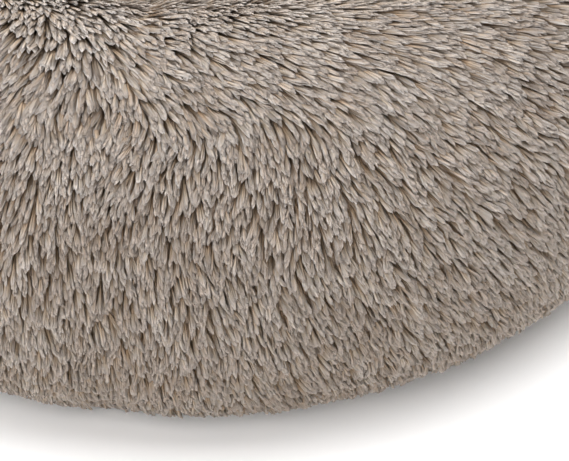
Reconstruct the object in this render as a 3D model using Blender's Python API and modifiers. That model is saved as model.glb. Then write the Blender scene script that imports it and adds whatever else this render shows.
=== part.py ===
"""A round donut pet bed with a long-pile cover.

A ring-shaped rim and the pad inside it are stuffed inserts of polyester fibre in
non-woven liners. One removable cover holds them both: pile fabric above, and below
it a non-slip base panel in two halves, which a coil zip joins.
Lengths are in metres and angles in degrees. +Z is up, the front is at -Y, and the
origin is on the floor, on the bed's axis.
"""

import math

import bmesh
import bpy

# Driving sizes of the whole bed
BED_DIAMETER = 0.500  # over the tips of the pile
BED_HEIGHT = 0.172
CUSHION_TOP = 0.072  # the nest's floor, at its middle
GAP = 0.0003  # between pieces that touch
ROUND_STEPS = 48
OVERRUN = 0.010  # how far a cutter passes the piece that it cuts

# Fabrics
PILE_DEPTH = 0.0115  # of the pile as it lies
BACKING_THICK = 0.0015
LINER_THICK = 0.0008
BASE_THICK = 0.0015  # with its non-slip dots

# Angles round the rim's section: 0 is outward and 90 is up
FLAT_ANGLE = 72.0  # below it, on both sides, the rim's weight presses it flat
UNDER_SEAM_ANGLE = -FLAT_ANGLE  # pile fabric to base panel
NEST_SEAM_ANGLE = 216.0  # pile fabric of the rim to that of the cushion
SECTION_STEPS = 16
SIDE_SEAM_TURN = -8.0  # the rim cover's radial seams, from the front round to the right

# Cushion and its pad
CROWN_SHARES = (0.0, 0.35, 0.65, 0.87)  # stations of the crown, of its radius
CROWN_POWER = 3
WALL_TAPER_SHARES = (0.92, 0.62, 0.31)  # of the pile fabric's thickness, down to the seam
PAD_EDGE_RISE = 0.006
PAD_SHOULDER_RISE = 0.015
PAD_EDGE_ROUND = 0.006

# Base panel
RECESS_HEIGHT = 0.010  # the middle stands clear of the floor, for the zip
SLOPE_STEPS = 2

# Zip
ZIP_END_MARGIN = 0.012  # from the chain's end to the edge of the recess
TAPE_END_MARGIN = 0.006
ZIP_OPENING_HALF = 0.0065  # half of the gap between the base panels
ZIP_OPENING_EXTRA = 0.002
TAPE_THICK = 0.0005
TAPE_INNER = 0.001  # from the zip's middle to the tape's inner edge
TAPE_OUTER = 0.015
COIL_INNER = 0.0008
COIL_OUTER = 0.0031
COIL_ROOT = 0.0021  # where the teeth leave the coil's straight side
COIL_HEIGHT = 0.0022
TOOTH_PITCH = 0.0030
TOOTH_HEAD = 0.0012
TOOTH_FOOT = 0.0018
TOP_STOP_LENGTH = 0.0026
BOTTOM_STOP_LENGTH = 0.0040
STOP_WALL = 0.0007  # above and below what a stop grips
STOP_GRIP = 0.0014  # how far a stop reaches over the tape

# Slider and pull tab
SLIDER_LENGTH = 0.011
SLIDER_FRONT_HALF = 0.0047  # half widths of its plates
SLIDER_REAR_HALF = 0.0043
SLIDER_CORNER = 0.0016
PLATE_THICK = 0.0009
FLANGE_THICK = 0.0010
WEDGE_HALF = 0.0005
WEDGE_LENGTH = 0.0036
WEDGE_SETBACK = 0.0008  # from the slider's front edge
BRIDGE_HALF_LENGTH = 0.0039
BRIDGE_HEIGHT = 0.0032
BRIDGE_WALL = 0.0008
BRIDGE_WIDTH = 0.0020
BRIDGE_SLANT = 0.0009
PULL_LENGTH = 0.022
PULL_HALF_NECK = 0.0027
PULL_HALF_TIP = 0.0035
PULL_THICK = 0.0012
PULL_BAR = 0.0012  # the bar that the bridge holds
PULL_WINDOW_LENGTH = 0.0052
PULL_WINDOW_HALF = 0.0016
GRIP_LENGTH = 0.007
GRIP_HALF = 0.0015
ARC_STEPS = 4

# Sizes that follow from these
TUBE_RADIUS = BED_HEIGHT / 2
CENTRE_HEIGHT = BED_HEIGHT / 2
RING_RADIUS = BED_DIAMETER / 2 - TUBE_RADIUS
FUR_THICK = PILE_DEPTH + BACKING_THICK
LINER_INSET = FUR_THICK + GAP
LINER_BOTTOM = BASE_THICK + GAP
FILL_INSET = LINER_INSET + LINER_THICK + GAP
FILL_BOTTOM = LINER_BOTTOM + LINER_THICK + GAP
SECTION_STEP = (NEST_SEAM_ANGLE - UNDER_SEAM_ANGLE) / SECTION_STEPS


def section_drop(bottom):
    """The height of the section's lower half, as if it went on below its flat underside."""
    return (CENTRE_HEIGHT - bottom) / math.sin(math.radians(FLAT_ANGLE))


def rim_point(angle, inset, bottom):
    """A point (radius, height) of the rim's section, inset from the tips of the pile."""
    turn = math.radians(angle)
    reach = TUBE_RADIUS - inset
    rise = reach if math.sin(turn) > 0 else section_drop(bottom)
    height = CENTRE_HEIGHT + rise * math.sin(turn)
    return RING_RADIUS + reach * math.cos(turn), max(height, bottom)


def rim_angle_at(height):
    """Where the liner's inner side comes down to this height, as an angle of the section."""
    drop = section_drop(LINER_BOTTOM)
    return 180 + math.degrees(math.asin((CENTRE_HEIGHT - height) / drop))


def shell_outline(angles, inset, bottom, thick):
    """The outline of a layer of the rim: its outer side down, then its inner side back."""
    outer = [rim_point(angle, inset, bottom) for angle in angles]
    inner = [rim_point(angle, inset + thick, bottom + thick) for angle in reversed(angles)]
    return outer + inner


def cushion_curve(depth, clearance):
    """From the middle of the cushion to its seam, at a depth below the tips of its pile."""
    wall = []
    for number, taper_share in enumerate(WALL_TAPER_SHARES):
        angle = NEST_SEAM_ANGLE - SECTION_STEP * (1 - number / (len(WALL_TAPER_SHARES) - 1))
        out = GAP + clearance + depth * taper_share
        wall.append(rim_point(angle, -out, -out))
    edge_radius, edge_height = wall[0]
    rise = CUSHION_TOP - depth - clearance - edge_height
    crown = [
        (share * edge_radius, edge_height + rise * (1 - share**CROWN_POWER))
        for share in CROWN_SHARES
    ]
    return crown + wall


# The scene starts empty, with one collection for the bed and one for its cutters
for old in list(bpy.data.objects):
    bpy.data.objects.remove(old, do_unlink=True)
bed = bpy.data.collections.new("donut_pet_bed")
cutters = bpy.data.collections.new("cutters")
bpy.context.scene.collection.children.link(bed)
bpy.context.scene.collection.children.link(cutters)


def material(name, colour, roughness, metallic=0.0):
    made = bpy.data.materials.new(name)
    made.use_nodes = True
    shader = made.node_tree.nodes["Principled BSDF"]
    shader.inputs["Base Color"].default_value = (*colour, 1.0)
    shader.inputs["Roughness"].default_value = roughness
    shader.inputs["Metallic"].default_value = metallic
    made.diffuse_color = (*colour, 1.0)
    return made


pile_fabric = material("pile_fabric", (0.33, 0.27, 0.22), 0.95)
non_woven = material("non_woven", (0.78, 0.78, 0.76), 0.9)
fibre_fill = material("fibre_fill", (0.88, 0.88, 0.87), 1.0)
base_fabric = material("base_fabric", (0.045, 0.042, 0.040), 0.8)
tape_fabric = material("tape_fabric", (0.16, 0.13, 0.11), 0.85)
coil_plastic = material("coil_plastic", (0.15, 0.12, 0.10), 0.45)
zip_metal = material("zip_metal", (0.42, 0.40, 0.38), 0.35, 1.0)


def finish(obj, surface):
    """Puts an object in the bed's collection with its material."""
    obj.data.materials.append(surface)
    bed.objects.link(obj)
    return obj


def turned(name, outline, surface, closed=True):
    """A piece turned about the bed's axis from its outline, clockwise from the top."""
    mesh = bpy.data.meshes.new(name)
    points = [(radius, 0, height) for radius, height in outline]
    edges = [(i, i + 1) for i in range(len(points) - 1)]
    if closed:
        edges.append((len(points) - 1, 0))
    mesh.from_pydata(points, edges, [])
    obj = bpy.data.objects.new(name, mesh)
    screw = obj.modifiers.new("turn", "SCREW")
    screw.axis = "Z"
    screw.steps = ROUND_STEPS
    screw.render_steps = ROUND_STEPS
    screw.use_merge_vertices = True
    screw.merge_threshold = GAP / 100
    screw.use_smooth_shade = True
    return finish(obj, surface)


def box(name, low, high, group, turn=0.0):
    """A box between two corners, turned about the bed's axis."""
    mesh = bpy.data.meshes.new(name)
    form = bmesh.new()
    bmesh.ops.create_cube(form, size=1.0)
    size = [high[i] - low[i] for i in range(3)]
    middle = [(high[i] + low[i]) / 2 for i in range(3)]
    bmesh.ops.scale(form, vec=size, verts=form.verts)
    bmesh.ops.translate(form, vec=middle, verts=form.verts)
    form.to_mesh(mesh)
    form.free()
    obj = bpy.data.objects.new(name, mesh)
    obj.rotation_euler.z = math.radians(turn)
    group.objects.link(obj)
    return obj


def cutter(name, low, high, turn=0.0):
    obj = box(name, low, high, cutters, turn)
    obj.hide_render = True
    obj.display_type = "WIRE"
    return obj


def cut(obj, tool, operation):
    """A Boolean on obj, by a cutter or by a shape that it takes in."""
    boolean = obj.modifiers.new(tool.name, "BOOLEAN")
    boolean.operation = operation
    boolean.object = tool


def plate(name, outlines, bottom, top):
    """A flat solid between two heights; the outlines after the first are holes."""
    curve = bpy.data.curves.new(name, "CURVE")
    curve.dimensions = "2D"
    curve.fill_mode = "BOTH"
    curve.extrude = (top - bottom) / 2
    for outline in outlines:
        spline = curve.splines.new("POLY")
        spline.points.add(len(outline) - 1)
        for point, (x, y) in zip(spline.points, outline):
            point.co = (x, y, 0, 1)
        spline.use_cyclic_u = True
    form = bpy.data.objects.new(name + "_outline", curve)
    bed.objects.link(form)
    form.location.z = (top + bottom) / 2
    bpy.context.view_layer.update()
    solid = form.evaluated_get(bpy.context.evaluated_depsgraph_get())
    mesh = bpy.data.meshes.new_from_object(solid)
    mesh.transform(form.matrix_world)
    bpy.data.objects.remove(form, do_unlink=True)
    bpy.data.curves.remove(curve)
    welded = bmesh.new()
    welded.from_mesh(mesh)
    bmesh.ops.remove_doubles(welded, verts=welded.verts, dist=GAP / 100)
    bmesh.ops.recalc_face_normals(welded, faces=welded.faces)
    welded.to_mesh(mesh)
    welded.free()
    return bpy.data.objects.new(name, mesh)


def helper(obj):
    """Turns a plate into a hidden shape that another piece takes in or is cut by."""
    obj.hide_render = True
    obj.display_type = "WIRE"
    cutters.objects.link(obj)
    return obj


def rounded(left, right, half_left, half_right, corner):
    """The outline of a plate along X with a half width at each end and round corners."""
    outline = []
    corners = (
        (right - corner, half_right - corner, 90),
        (left + corner, half_left - corner, 180),
        (left + corner, corner - half_left, 270),
        (right - corner, corner - half_right, 360),
    )
    for x, y, end in corners:
        for step in range(ARC_STEPS + 1):
            turn = math.radians(end - 90 + 90 * step / ARC_STEPS)
            outline.append((x + corner * math.cos(turn), y + corner * math.sin(turn)))
    return outline


# Rim cover: one strip of pile fabric on each side, joined by two radial seams
rim_angles = [NEST_SEAM_ANGLE - SECTION_STEP * i for i in range(SECTION_STEPS + 1)]
rim_outer = [rim_point(angle, 0, 0) for angle in rim_angles]
rim_inner = [rim_point(angle, FUR_THICK, BASE_THICK) for angle in reversed(rim_angles)]
reach = BED_DIAMETER / 2 + OVERRUN
for name, side in (("rim_cover_right", 1), ("rim_cover_left", -1)):
    cover = turned(name, rim_outer + rim_inner, pile_fabric)
    near, far = side * GAP / 2, side * reach
    low = (min(near, far), -reach, -OVERRUN)
    high = (max(near, far), reach, BED_HEIGHT + OVERRUN)
    cut(cover, cutter(name + "_side", low, high, SIDE_SEAM_TURN), "INTERSECT")

# Rim insert: a liner of two rings, sewn together at its outer and inner sides, and its fill
outer_seam, inner_seam = rim_angles[-4], rim_angles[1]
top_angles = rim_angles[1:-3:2]
liner_step = 2 * SECTION_STEP
bottom_steps = round((outer_seam + 360 - inner_seam) / liner_step)
bottom_angles = [outer_seam - liner_step * i for i in range(bottom_steps + 1)]
seam_turn = math.degrees(GAP / (TUBE_RADIUS - LINER_INSET))


def stepped_in(angles, turn):
    """The angles of a layer whose two edges stop short of its seams."""
    return [angles[0] - turn, *angles[1:-1], angles[-1] + turn]


liner_top = shell_outline(stepped_in(top_angles, seam_turn), LINER_INSET, LINER_BOTTOM, LINER_THICK)
turned("rim_liner_top", liner_top, non_woven)
liner_bottom = shell_outline(bottom_angles, LINER_INSET, LINER_BOTTOM, LINER_THICK)
turned("rim_liner_bottom", liner_bottom, non_woven)
fill_angles = top_angles + bottom_angles[1:-1]
turned("rim_fill", [rim_point(angle, FILL_INSET, FILL_BOTTOM) for angle in fill_angles], fibre_fill)

# Cushion cover: a crowned disc of pile fabric, drawn down to its seam with the rim
cushion_outline = cushion_curve(0, 0) + cushion_curve(FUR_THICK, 0)[::-1]
turned("cushion_cover", cushion_outline, pile_fabric, closed=False)

# Heights of the zip's layers, from the base panel up and down
recess_top = RECESS_HEIGHT + BASE_THICK
tape_bottom = recess_top + GAP
tape_top = tape_bottom + TAPE_THICK
coil_top = tape_bottom - GAP
coil_bottom = coil_top - COIL_HEIGHT
slider_top = tape_top + GAP + PLATE_THICK
slider_bottom = coil_bottom - GAP - PLATE_THICK

# Pad: a liner of two discs, sewn together at its edge, and its fill
pad_bottom = slider_top + GAP
seam_height = pad_bottom + PAD_EDGE_RISE
shoulder_height = pad_bottom + PAD_SHOULDER_RISE


def pad_radius(height):
    """How far the pad reaches at a height before it meets the rim's insert."""
    return rim_point(rim_angle_at(height), LINER_INSET, LINER_BOTTOM)[0] - GAP


def pad_upper(inset, edge_height):
    shoulder = (pad_radius(shoulder_height) - inset, shoulder_height - inset)
    edge = (pad_radius(seam_height) - inset, edge_height)
    return [*cushion_curve(FUR_THICK, GAP + inset), shoulder, edge]


def pad_lower(inset, edge_height):
    edge = (pad_radius(seam_height) - inset, edge_height)
    foot = pad_bottom + inset
    return [edge, (pad_radius(seam_height) - PAD_EDGE_ROUND, foot), (0, foot)]


above, below = seam_height + GAP / 2, seam_height - GAP / 2
liner_outline = pad_upper(0, above) + pad_upper(LINER_THICK, above)[::-1]
turned("cushion_liner_top", liner_outline, non_woven, closed=False)
inner_side = pad_lower(LINER_THICK, below)[::-1]
liner_outline = inner_side + pad_lower(0, below)
turned("cushion_liner_bottom", liner_outline, non_woven, closed=False)
fill_inset = LINER_THICK + GAP
fill_outline = pad_upper(fill_inset, seam_height) + pad_lower(fill_inset, seam_height)[1:]
turned("cushion_fill", fill_outline, fibre_fill, closed=False)

# Base panel: flat under the rim, raised inside it, in two halves with the zip between them
base_radius = rim_point(UNDER_SEAM_ANGLE, FUR_THICK, BASE_THICK)[0] - GAP
recess_angle = rim_angle_at(recess_top + GAP)
base_top = [(0, recess_top)]
for step in range(SLOPE_STEPS + 1):
    angle = recess_angle + (180 + FLAT_ANGLE - recess_angle) * step / SLOPE_STEPS
    radius, height = rim_point(angle, LINER_INSET, LINER_BOTTOM)
    base_top.append((radius, height - GAP))
base_top.append((base_radius, BASE_THICK))
recess_radius = base_top[1][0]
base_under = [(radius, height - BASE_THICK) for radius, height in reversed(base_top)]

chain_half = recess_radius - ZIP_END_MARGIN
opening_half_length = chain_half + ZIP_OPENING_EXTRA
zip_opening = cutter(
    "zip_opening",
    (-opening_half_length, -ZIP_OPENING_HALF, -OVERRUN),
    (opening_half_length, ZIP_OPENING_HALF, recess_top + OVERRUN),
)
for name, side in (("base_panel_front", -1), ("base_panel_rear", 1)):
    panel = turned(name, base_top + base_under, base_fabric, closed=False)
    near, far = side * GAP / 2, side * reach
    low = (-reach, min(near, far), -OVERRUN)
    high = (reach, max(near, far), recess_top + OVERRUN)
    cut(panel, cutter(name + "_side", low, high), "INTERSECT")
    cut(panel, zip_opening, "DIFFERENCE")

# Zip tapes, sewn to the inner side of the base panels along the opening
tape_half_length = recess_radius - TAPE_END_MARGIN
for name, side in (("zip_tape_front", -1), ("zip_tape_rear", 1)):
    inner, outer = side * TAPE_INNER, side * TAPE_OUTER
    low = (-tape_half_length, min(inner, outer), tape_bottom)
    high = (tape_half_length, max(inner, outer), tape_top)
    tape = box(name, low, high, bed)
    tape.data.materials.append(tape_fabric)

# Zip coils: a toothed row on the edge of each tape, half a pitch apart
coil_start = -chain_half + TOP_STOP_LENGTH + GAP
coil_end = chain_half - BOTTOM_STOP_LENGTH - GAP


def coil_outline(side, shift):
    """The plan of one row: a straight side, and teeth towards the zip's middle."""
    outline = [(coil_start, side * COIL_OUTER), (coil_start, side * COIL_ROOT)]
    place = coil_start + shift
    while place + TOOTH_FOOT < coil_end:
        lean = (TOOTH_FOOT - TOOTH_HEAD) / 2
        outline.append((place, side * COIL_ROOT))
        outline.append((place + lean, side * COIL_INNER))
        outline.append((place + lean + TOOTH_HEAD, side * COIL_INNER))
        outline.append((place + TOOTH_FOOT, side * COIL_ROOT))
        place += TOOTH_PITCH
    outline += [(coil_end, side * COIL_ROOT), (coil_end, side * COIL_OUTER)]
    return outline


tooth_margin = (TOOTH_PITCH - TOOTH_FOOT) / 2
for name, side, shift in (
    ("zip_coil_front", -1, tooth_margin),
    ("zip_coil_rear", 1, tooth_margin + TOOTH_PITCH / 2),
):
    row = plate(name, [coil_outline(side, shift)], coil_bottom, coil_top)
    finish(row, coil_plastic)

# End stops: clips round the edges of the tapes, one on each at the closed end, one over both at the other
stop_top = tape_top + GAP + STOP_WALL
stop_outer = TAPE_INNER + STOP_GRIP


def stop(name, start, end, low_y, high_y, tapes):
    """A clip from start to end along the zip, with a slot for each tape that it grips."""
    clip = box(name, (start, low_y, coil_bottom), (end, high_y, stop_top), bed)
    clip.data.materials.append(zip_metal)
    for side in tapes:
        inner, outer = side * (TAPE_INNER - GAP), side * (stop_outer + OVERRUN)
        low = (start - OVERRUN, min(inner, outer), tape_bottom - GAP)
        high = (end + OVERRUN, max(inner, outer), tape_top + GAP)
        cut(clip, cutter(f"{name}_slot_{'front' if side < 0 else 'rear'}", low, high), "DIFFERENCE")


top_stop_end = TOP_STOP_LENGTH - chain_half
stop("zip_top_stop_front", -chain_half, top_stop_end, -stop_outer, -GAP / 2, (-1,))
stop("zip_top_stop_rear", -chain_half, top_stop_end, GAP / 2, stop_outer, (1,))
bottom_stop_start = chain_half - BOTTOM_STOP_LENGTH
stop("zip_bottom_stop", bottom_stop_start, chain_half, -stop_outer, stop_outer, (-1, 1))

# Slider body: two plates joined by a wedge that runs between the coils, with a flange on each side
slider_half = SLIDER_LENGTH / 2
slider_place = top_stop_end + GAP + slider_half
slider_travel = bottom_stop_start - GAP - slider_half - slider_place
slider_plan = rounded(
    -slider_half, slider_half, SLIDER_FRONT_HALF, SLIDER_REAR_HALF, SLIDER_CORNER
)
slider = plate("zip_slider_body", [slider_plan], slider_bottom, slider_bottom + PLATE_THICK)
finish(slider, zip_metal)
upper = plate("slider_upper_plate", [slider_plan], slider_top - PLATE_THICK, slider_top)
wedge_front = WEDGE_SETBACK - slider_half
wedge_plan = rounded(
    wedge_front, wedge_front + WEDGE_LENGTH, WEDGE_HALF, WEDGE_HALF, WEDGE_HALF / 2
)
wedge_bottom = slider_bottom + PLATE_THICK / 2
wedge = plate("slider_wedge", [wedge_plan], wedge_bottom, slider_top - PLATE_THICK / 2)
shapes = [upper, wedge]
for name, side in (("slider_flange_front", -1), ("slider_flange_rear", 1)):
    outer, inner = side * SLIDER_REAR_HALF, side * (SLIDER_REAR_HALF - FLANGE_THICK)
    ends = slider_half - SLIDER_CORNER
    flange_plan = [(-ends, outer), (ends, outer), (ends, inner), (-ends, inner)]
    shapes.append(plate(name, [flange_plan], wedge_bottom, tape_bottom - GAP))
for shape in shapes:
    helper(shape)
    shape.location.x = slider_place
    cut(slider, shape, "UNION")
slider.location.x = slider_place

# Slider bridge: a stamped arch under the slider, which holds the pull tab's bar
bridge_top = slider_bottom - GAP
foot_half = BRIDGE_HALF_LENGTH
crest_half = BRIDGE_HALF_LENGTH - BRIDGE_SLANT
arch = [
    (-foot_half, 0),
    (-crest_half, -BRIDGE_HEIGHT),
    (crest_half, -BRIDGE_HEIGHT),
    (foot_half, 0),
    (foot_half - BRIDGE_WALL, 0),
    (crest_half - BRIDGE_WALL, BRIDGE_WALL - BRIDGE_HEIGHT),
    (BRIDGE_WALL - crest_half, BRIDGE_WALL - BRIDGE_HEIGHT),
    (BRIDGE_WALL - foot_half, 0),
]
bridge = finish(plate("zip_slider_bridge", [arch], -BRIDGE_WIDTH / 2, BRIDGE_WIDTH / 2), zip_metal)
bridge.rotation_euler.x = math.radians(90)
bridge.parent = slider
bridge.location.z = bridge_top

# Pull tab: a flat tab with a window round the bridge, its tip down near the floor
pull_height = bridge_top - (BRIDGE_HEIGHT - BRIDGE_WALL) / 2
droop = math.asin((pull_height - PULL_THICK) / PULL_LENGTH)
bar_half = PULL_BAR / 2
pull_plan = rounded(-bar_half, PULL_LENGTH, PULL_HALF_NECK, PULL_HALF_TIP, bar_half)
window_end = bar_half + PULL_WINDOW_LENGTH
window_plan = [
    (bar_half, -PULL_WINDOW_HALF),
    (window_end, -PULL_WINDOW_HALF),
    (window_end, PULL_WINDOW_HALF),
    (bar_half, PULL_WINDOW_HALF),
]
grip_end = PULL_LENGTH - PULL_HALF_TIP
grip_plan = rounded(grip_end - GRIP_LENGTH, grip_end, GRIP_HALF, GRIP_HALF, GRIP_HALF / 2)
pull_outlines = [pull_plan, window_plan, grip_plan]
pull = finish(plate("zip_pull_tab", pull_outlines, -PULL_THICK / 2, PULL_THICK / 2), zip_metal)
pull.parent = slider
pull.location.z = pull_height
pull.rotation_euler.y = droop

print(f"recess radius {recess_radius:.5f}")
print(f"slider at x {slider_place:.6f}, travel {slider_travel:.6f}")
print(f"pull tab pivot at z {pull_height:.6f}, droop {math.degrees(droop):.3f} degrees")
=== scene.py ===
"""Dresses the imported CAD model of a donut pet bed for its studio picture.

A stuffed ring and a stuffed pad lie in one long-pile cover with a zipped non-slip base.
Lengths are in metres and angles in degrees. +Z is up and the front of the bed is at -Y.
"""

import math

import bpy
import numpy as np
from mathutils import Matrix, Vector, noise


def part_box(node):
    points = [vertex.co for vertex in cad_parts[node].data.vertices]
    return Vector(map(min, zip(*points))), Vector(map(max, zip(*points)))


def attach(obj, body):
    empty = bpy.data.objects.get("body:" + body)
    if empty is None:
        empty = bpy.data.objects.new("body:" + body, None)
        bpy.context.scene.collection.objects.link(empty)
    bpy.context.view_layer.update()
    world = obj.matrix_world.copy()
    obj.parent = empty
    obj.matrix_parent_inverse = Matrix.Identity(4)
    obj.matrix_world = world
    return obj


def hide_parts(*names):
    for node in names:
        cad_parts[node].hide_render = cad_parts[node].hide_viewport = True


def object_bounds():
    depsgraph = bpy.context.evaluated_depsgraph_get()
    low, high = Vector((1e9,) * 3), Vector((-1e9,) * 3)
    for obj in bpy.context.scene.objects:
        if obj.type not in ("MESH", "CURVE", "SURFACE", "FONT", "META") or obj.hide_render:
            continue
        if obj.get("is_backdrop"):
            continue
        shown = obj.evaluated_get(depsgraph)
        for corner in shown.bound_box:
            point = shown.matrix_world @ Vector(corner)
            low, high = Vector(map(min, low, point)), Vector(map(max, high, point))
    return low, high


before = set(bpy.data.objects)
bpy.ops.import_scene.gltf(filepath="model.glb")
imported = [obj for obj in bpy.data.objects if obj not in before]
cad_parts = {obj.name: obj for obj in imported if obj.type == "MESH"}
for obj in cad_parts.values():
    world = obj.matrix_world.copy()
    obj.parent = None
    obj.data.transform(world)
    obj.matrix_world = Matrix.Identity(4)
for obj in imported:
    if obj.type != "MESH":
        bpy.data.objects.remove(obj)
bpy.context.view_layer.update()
scene = bpy.context.scene


# Camera: a studio camera with a long lens, 1.5 m from the front of the rim and 35 degrees above the
# floor. Its frame holds a quarter of a metre of the rim, the pile's lower edge and a strip of floor.
CAMERA_ELEVATION = 35.0
CAMERA_DISTANCE = 1.5
CAMERA_LENS, SENSOR_WIDTH = 200.5, 36.0  # in mm
CAMERA_AIM = Vector((0.0451, -0.0594, 0.0012))
PICTURE = (569, 461)

elevation = math.radians(CAMERA_ELEVATION)
camera_back = Vector((0, -math.cos(elevation), math.sin(elevation)))
camera_up = Vector((0, math.sin(elevation), math.cos(elevation)))
lens = bpy.data.cameras.new("studio_camera")
lens.lens = CAMERA_LENS
lens.sensor_width = SENSOR_WIDTH
camera = bpy.data.objects.new("studio_camera", lens)
camera.location = CAMERA_AIM + camera_back * CAMERA_DISTANCE
camera.rotation_euler = camera_back.to_track_quat("Z", "Y").to_euler()
scene.collection.objects.link(camera)
scene.camera = camera
scene.view_settings.view_transform = "Standard"


# Studio: a white floor sweep, a soft box as large as a ceiling above the bed and a fill box behind
# the camera, so the only shadow is the soft one under the rim's overhang. The walls add a little.
FLOOR_SIZE = 8.0
SOFT_BOXES = (  # name, side in m, place, power in W
    ("ceiling_box", 3.2, Vector((0.0, 0.3, 1.8)), 115.0),
    ("fill_box", 1.8, Vector((-0.4, -1.95, 1.15)), 50.0),
)
WALL_LIGHT = 0.25


def linear(code):
    """A colour written as sRGB hex, as the linear values that the nodes take."""
    parts = [int(code[i : i + 2], 16) / 255 for i in (1, 3, 5)]
    return (*[p / 12.92 if p <= 0.04045 else ((p + 0.055) / 1.055) ** 2.4 for p in parts], 1.0)


def add_node(tree, kind, inputs=None, **settings):
    """Adds a node with its settings; each input is given a value or another node's socket."""
    made = tree.nodes.new(kind)
    for key, value in settings.items():
        setattr(made, key, value)
    for key, value in (inputs or {}).items():
        if isinstance(value, bpy.types.NodeSocket):
            tree.links.new(value, made.inputs[key])
        else:
            made.inputs[key].default_value = value
    return made


def new_material(name, values):
    """A material with its main shader's plain values set; its patterns are linked in afterwards."""
    made = bpy.data.materials.new(name)
    made.use_nodes = True
    shader = made.node_tree.nodes["Principled BSDF"]
    for key, value in values.items():
        shader.inputs[key].default_value = value
    return made, made.node_tree, shader


def patterned(tree, shader, pattern, tones=(), relief=None, depth=()):
    """Colours a surface by a pattern, between tones at two places in its range. Given a strength
    and a depth, it raises the surface by the pattern, or by a relief of its own."""
    if tones:
        ramp = add_node(tree, "ShaderNodeValToRGB", {"Fac": pattern})
        for stop, (place, code) in zip(ramp.color_ramp.elements, tones):
            stop.position, stop.color = place, linear(code)
        tree.links.new(ramp.outputs[0], shader.inputs["Base Color"])
    if depth:
        height = pattern if relief is None else relief
        raised = {"Height": height, "Strength": depth[0], "Distance": depth[1]}
        bump = add_node(tree, "ShaderNodeBump", raised)
        tree.links.new(bump.outputs[0], shader.inputs["Normal"])


def mesh_piece(name, points, faces, surface=None, smooth=True):
    """A mesh object in the scene from points and faces, with its material."""
    mesh = bpy.data.meshes.new(name)
    mesh.from_pydata([tuple(map(float, p)) for p in points], [], faces)
    mesh.polygons.foreach_set("use_smooth", [smooth] * len(mesh.polygons))
    if surface:
        mesh.materials.append(surface)
    made = bpy.data.objects.new(name, mesh)
    scene.collection.objects.link(made)
    return made


# Painted studio board: matt white with a faint roller texture, so it has no shine and burns out to
# the white of the paper.
floor_board, floor_tree, floor_shader = new_material(
    "painted_studio_board", {"Base Color": linear("#FAFAFA"), "Roughness": 0.9}
)
board_place = add_node(floor_tree, "ShaderNodeTexCoord").outputs["Object"]
roller = add_node(floor_tree, "ShaderNodeTexNoise", {"Vector": board_place, "Scale": 260.0})
patterned(floor_tree, floor_shader, roller.outputs["Fac"], depth=(0.05, 0.0002))
reach = FLOOR_SIZE / 2
corners = [(-reach, -reach, 0), (reach, -reach, 0), (reach, reach, 0), (-reach, reach, 0)]
floor = mesh_piece("studio_floor", corners, [(0, 1, 2, 3)], floor_board)
floor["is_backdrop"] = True

for name, side, place, power in SOFT_BOXES:
    box = bpy.data.lights.new(name, "AREA")
    box.size = side
    box.energy = power
    stand = bpy.data.objects.new(name, box)
    stand.location = place
    stand.rotation_euler = place.to_track_quat("Z", "Y").to_euler()
    scene.collection.objects.link(stand)

walls = bpy.data.worlds.new("studio_walls")
walls.use_nodes = True
walls.node_tree.nodes["Background"].inputs["Color"].default_value = (1.0, 1.0, 1.0, 1.0)
walls.node_tree.nodes["Background"].inputs["Strength"].default_value = WALL_LIGHT
scene.world = walls


# Rim fill: loose hollow polyester fibre, blown in until the rim stands up as a ring. It is uneven,
# so the ring has low lumps, and its own weight presses it flat where it lies on the base.
rim_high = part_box("rim_cover_right")[1]
TUBE_RADIUS = rim_high.z / 2
RING_RADIUS = rim_high.x - TUBE_RADIUS
FLAT_ANGLE = 72.0  # angles of the rim's section: 0 is outward, 90 is up, and past 72 down it is flat
NEST_SEAM_ANGLE = 216.0  # where the rim's cover meets the cushion's, low on the inner side
PILE_DEPTH = 0.0115
BACKING_THICK = 0.0015
LINER_THICK = 0.0008
BASE_THICK = 0.0015
PLAY = 0.0004  # between one layer and the next
LINER_INSET = PILE_DEPTH + BACKING_THICK + 2 * PLAY
FILL_INSET = LINER_INSET + LINER_THICK + PLAY
FILL_BOTTOM = BASE_THICK + LINER_THICK + 2 * PLAY
LUMP_SIZE, LUMP_HEIGHT = 0.075, 0.0030
DENT_SIZE, DENT_HEIGHT = 0.030, 0.0010
FULL_TURN, FULL_ANGLE, FULL_HEIGHT = -4.0, 108.0, 0.0065  # the ring is stuffed fullest here
FULL_TURN_REACH, FULL_ANGLE_REACH = 30.0, 38.0
SEWN_REACH = 30.0  # lumps fade over these degrees of the section towards the cover's seams
SIDE_SEAM_TURNS = (-8.0, 172.0)  # the cover's radial seams, in degrees from the front
SIDE_SEAM_DEPTH, SIDE_SEAM_REACH = 0.003, 6.0
NEST_SEAM_EASE = 0.85  # the seams are this much shallower where they run down into the nest
NOISE_SCALE = 1.6  # brings the noise to about -1 to 1
FILL_TURNS, FILL_ANGLES = 120, 40


def smooth_step(value, start, end):
    share = np.clip((value - start) / (end - start), 0, 1)
    return share * share * (3 - 2 * share)


def wander(points, size, seed=0.0):
    """Smooth noise at points, about -1 to 1, with bumps of a size."""
    flat = points.reshape(-1, 3)
    values = [noise.noise(Vector(p) / size + Vector((seed, seed, seed))) for p in flat]
    return NOISE_SCALE * np.array(values).reshape(points.shape[:-1])


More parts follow.
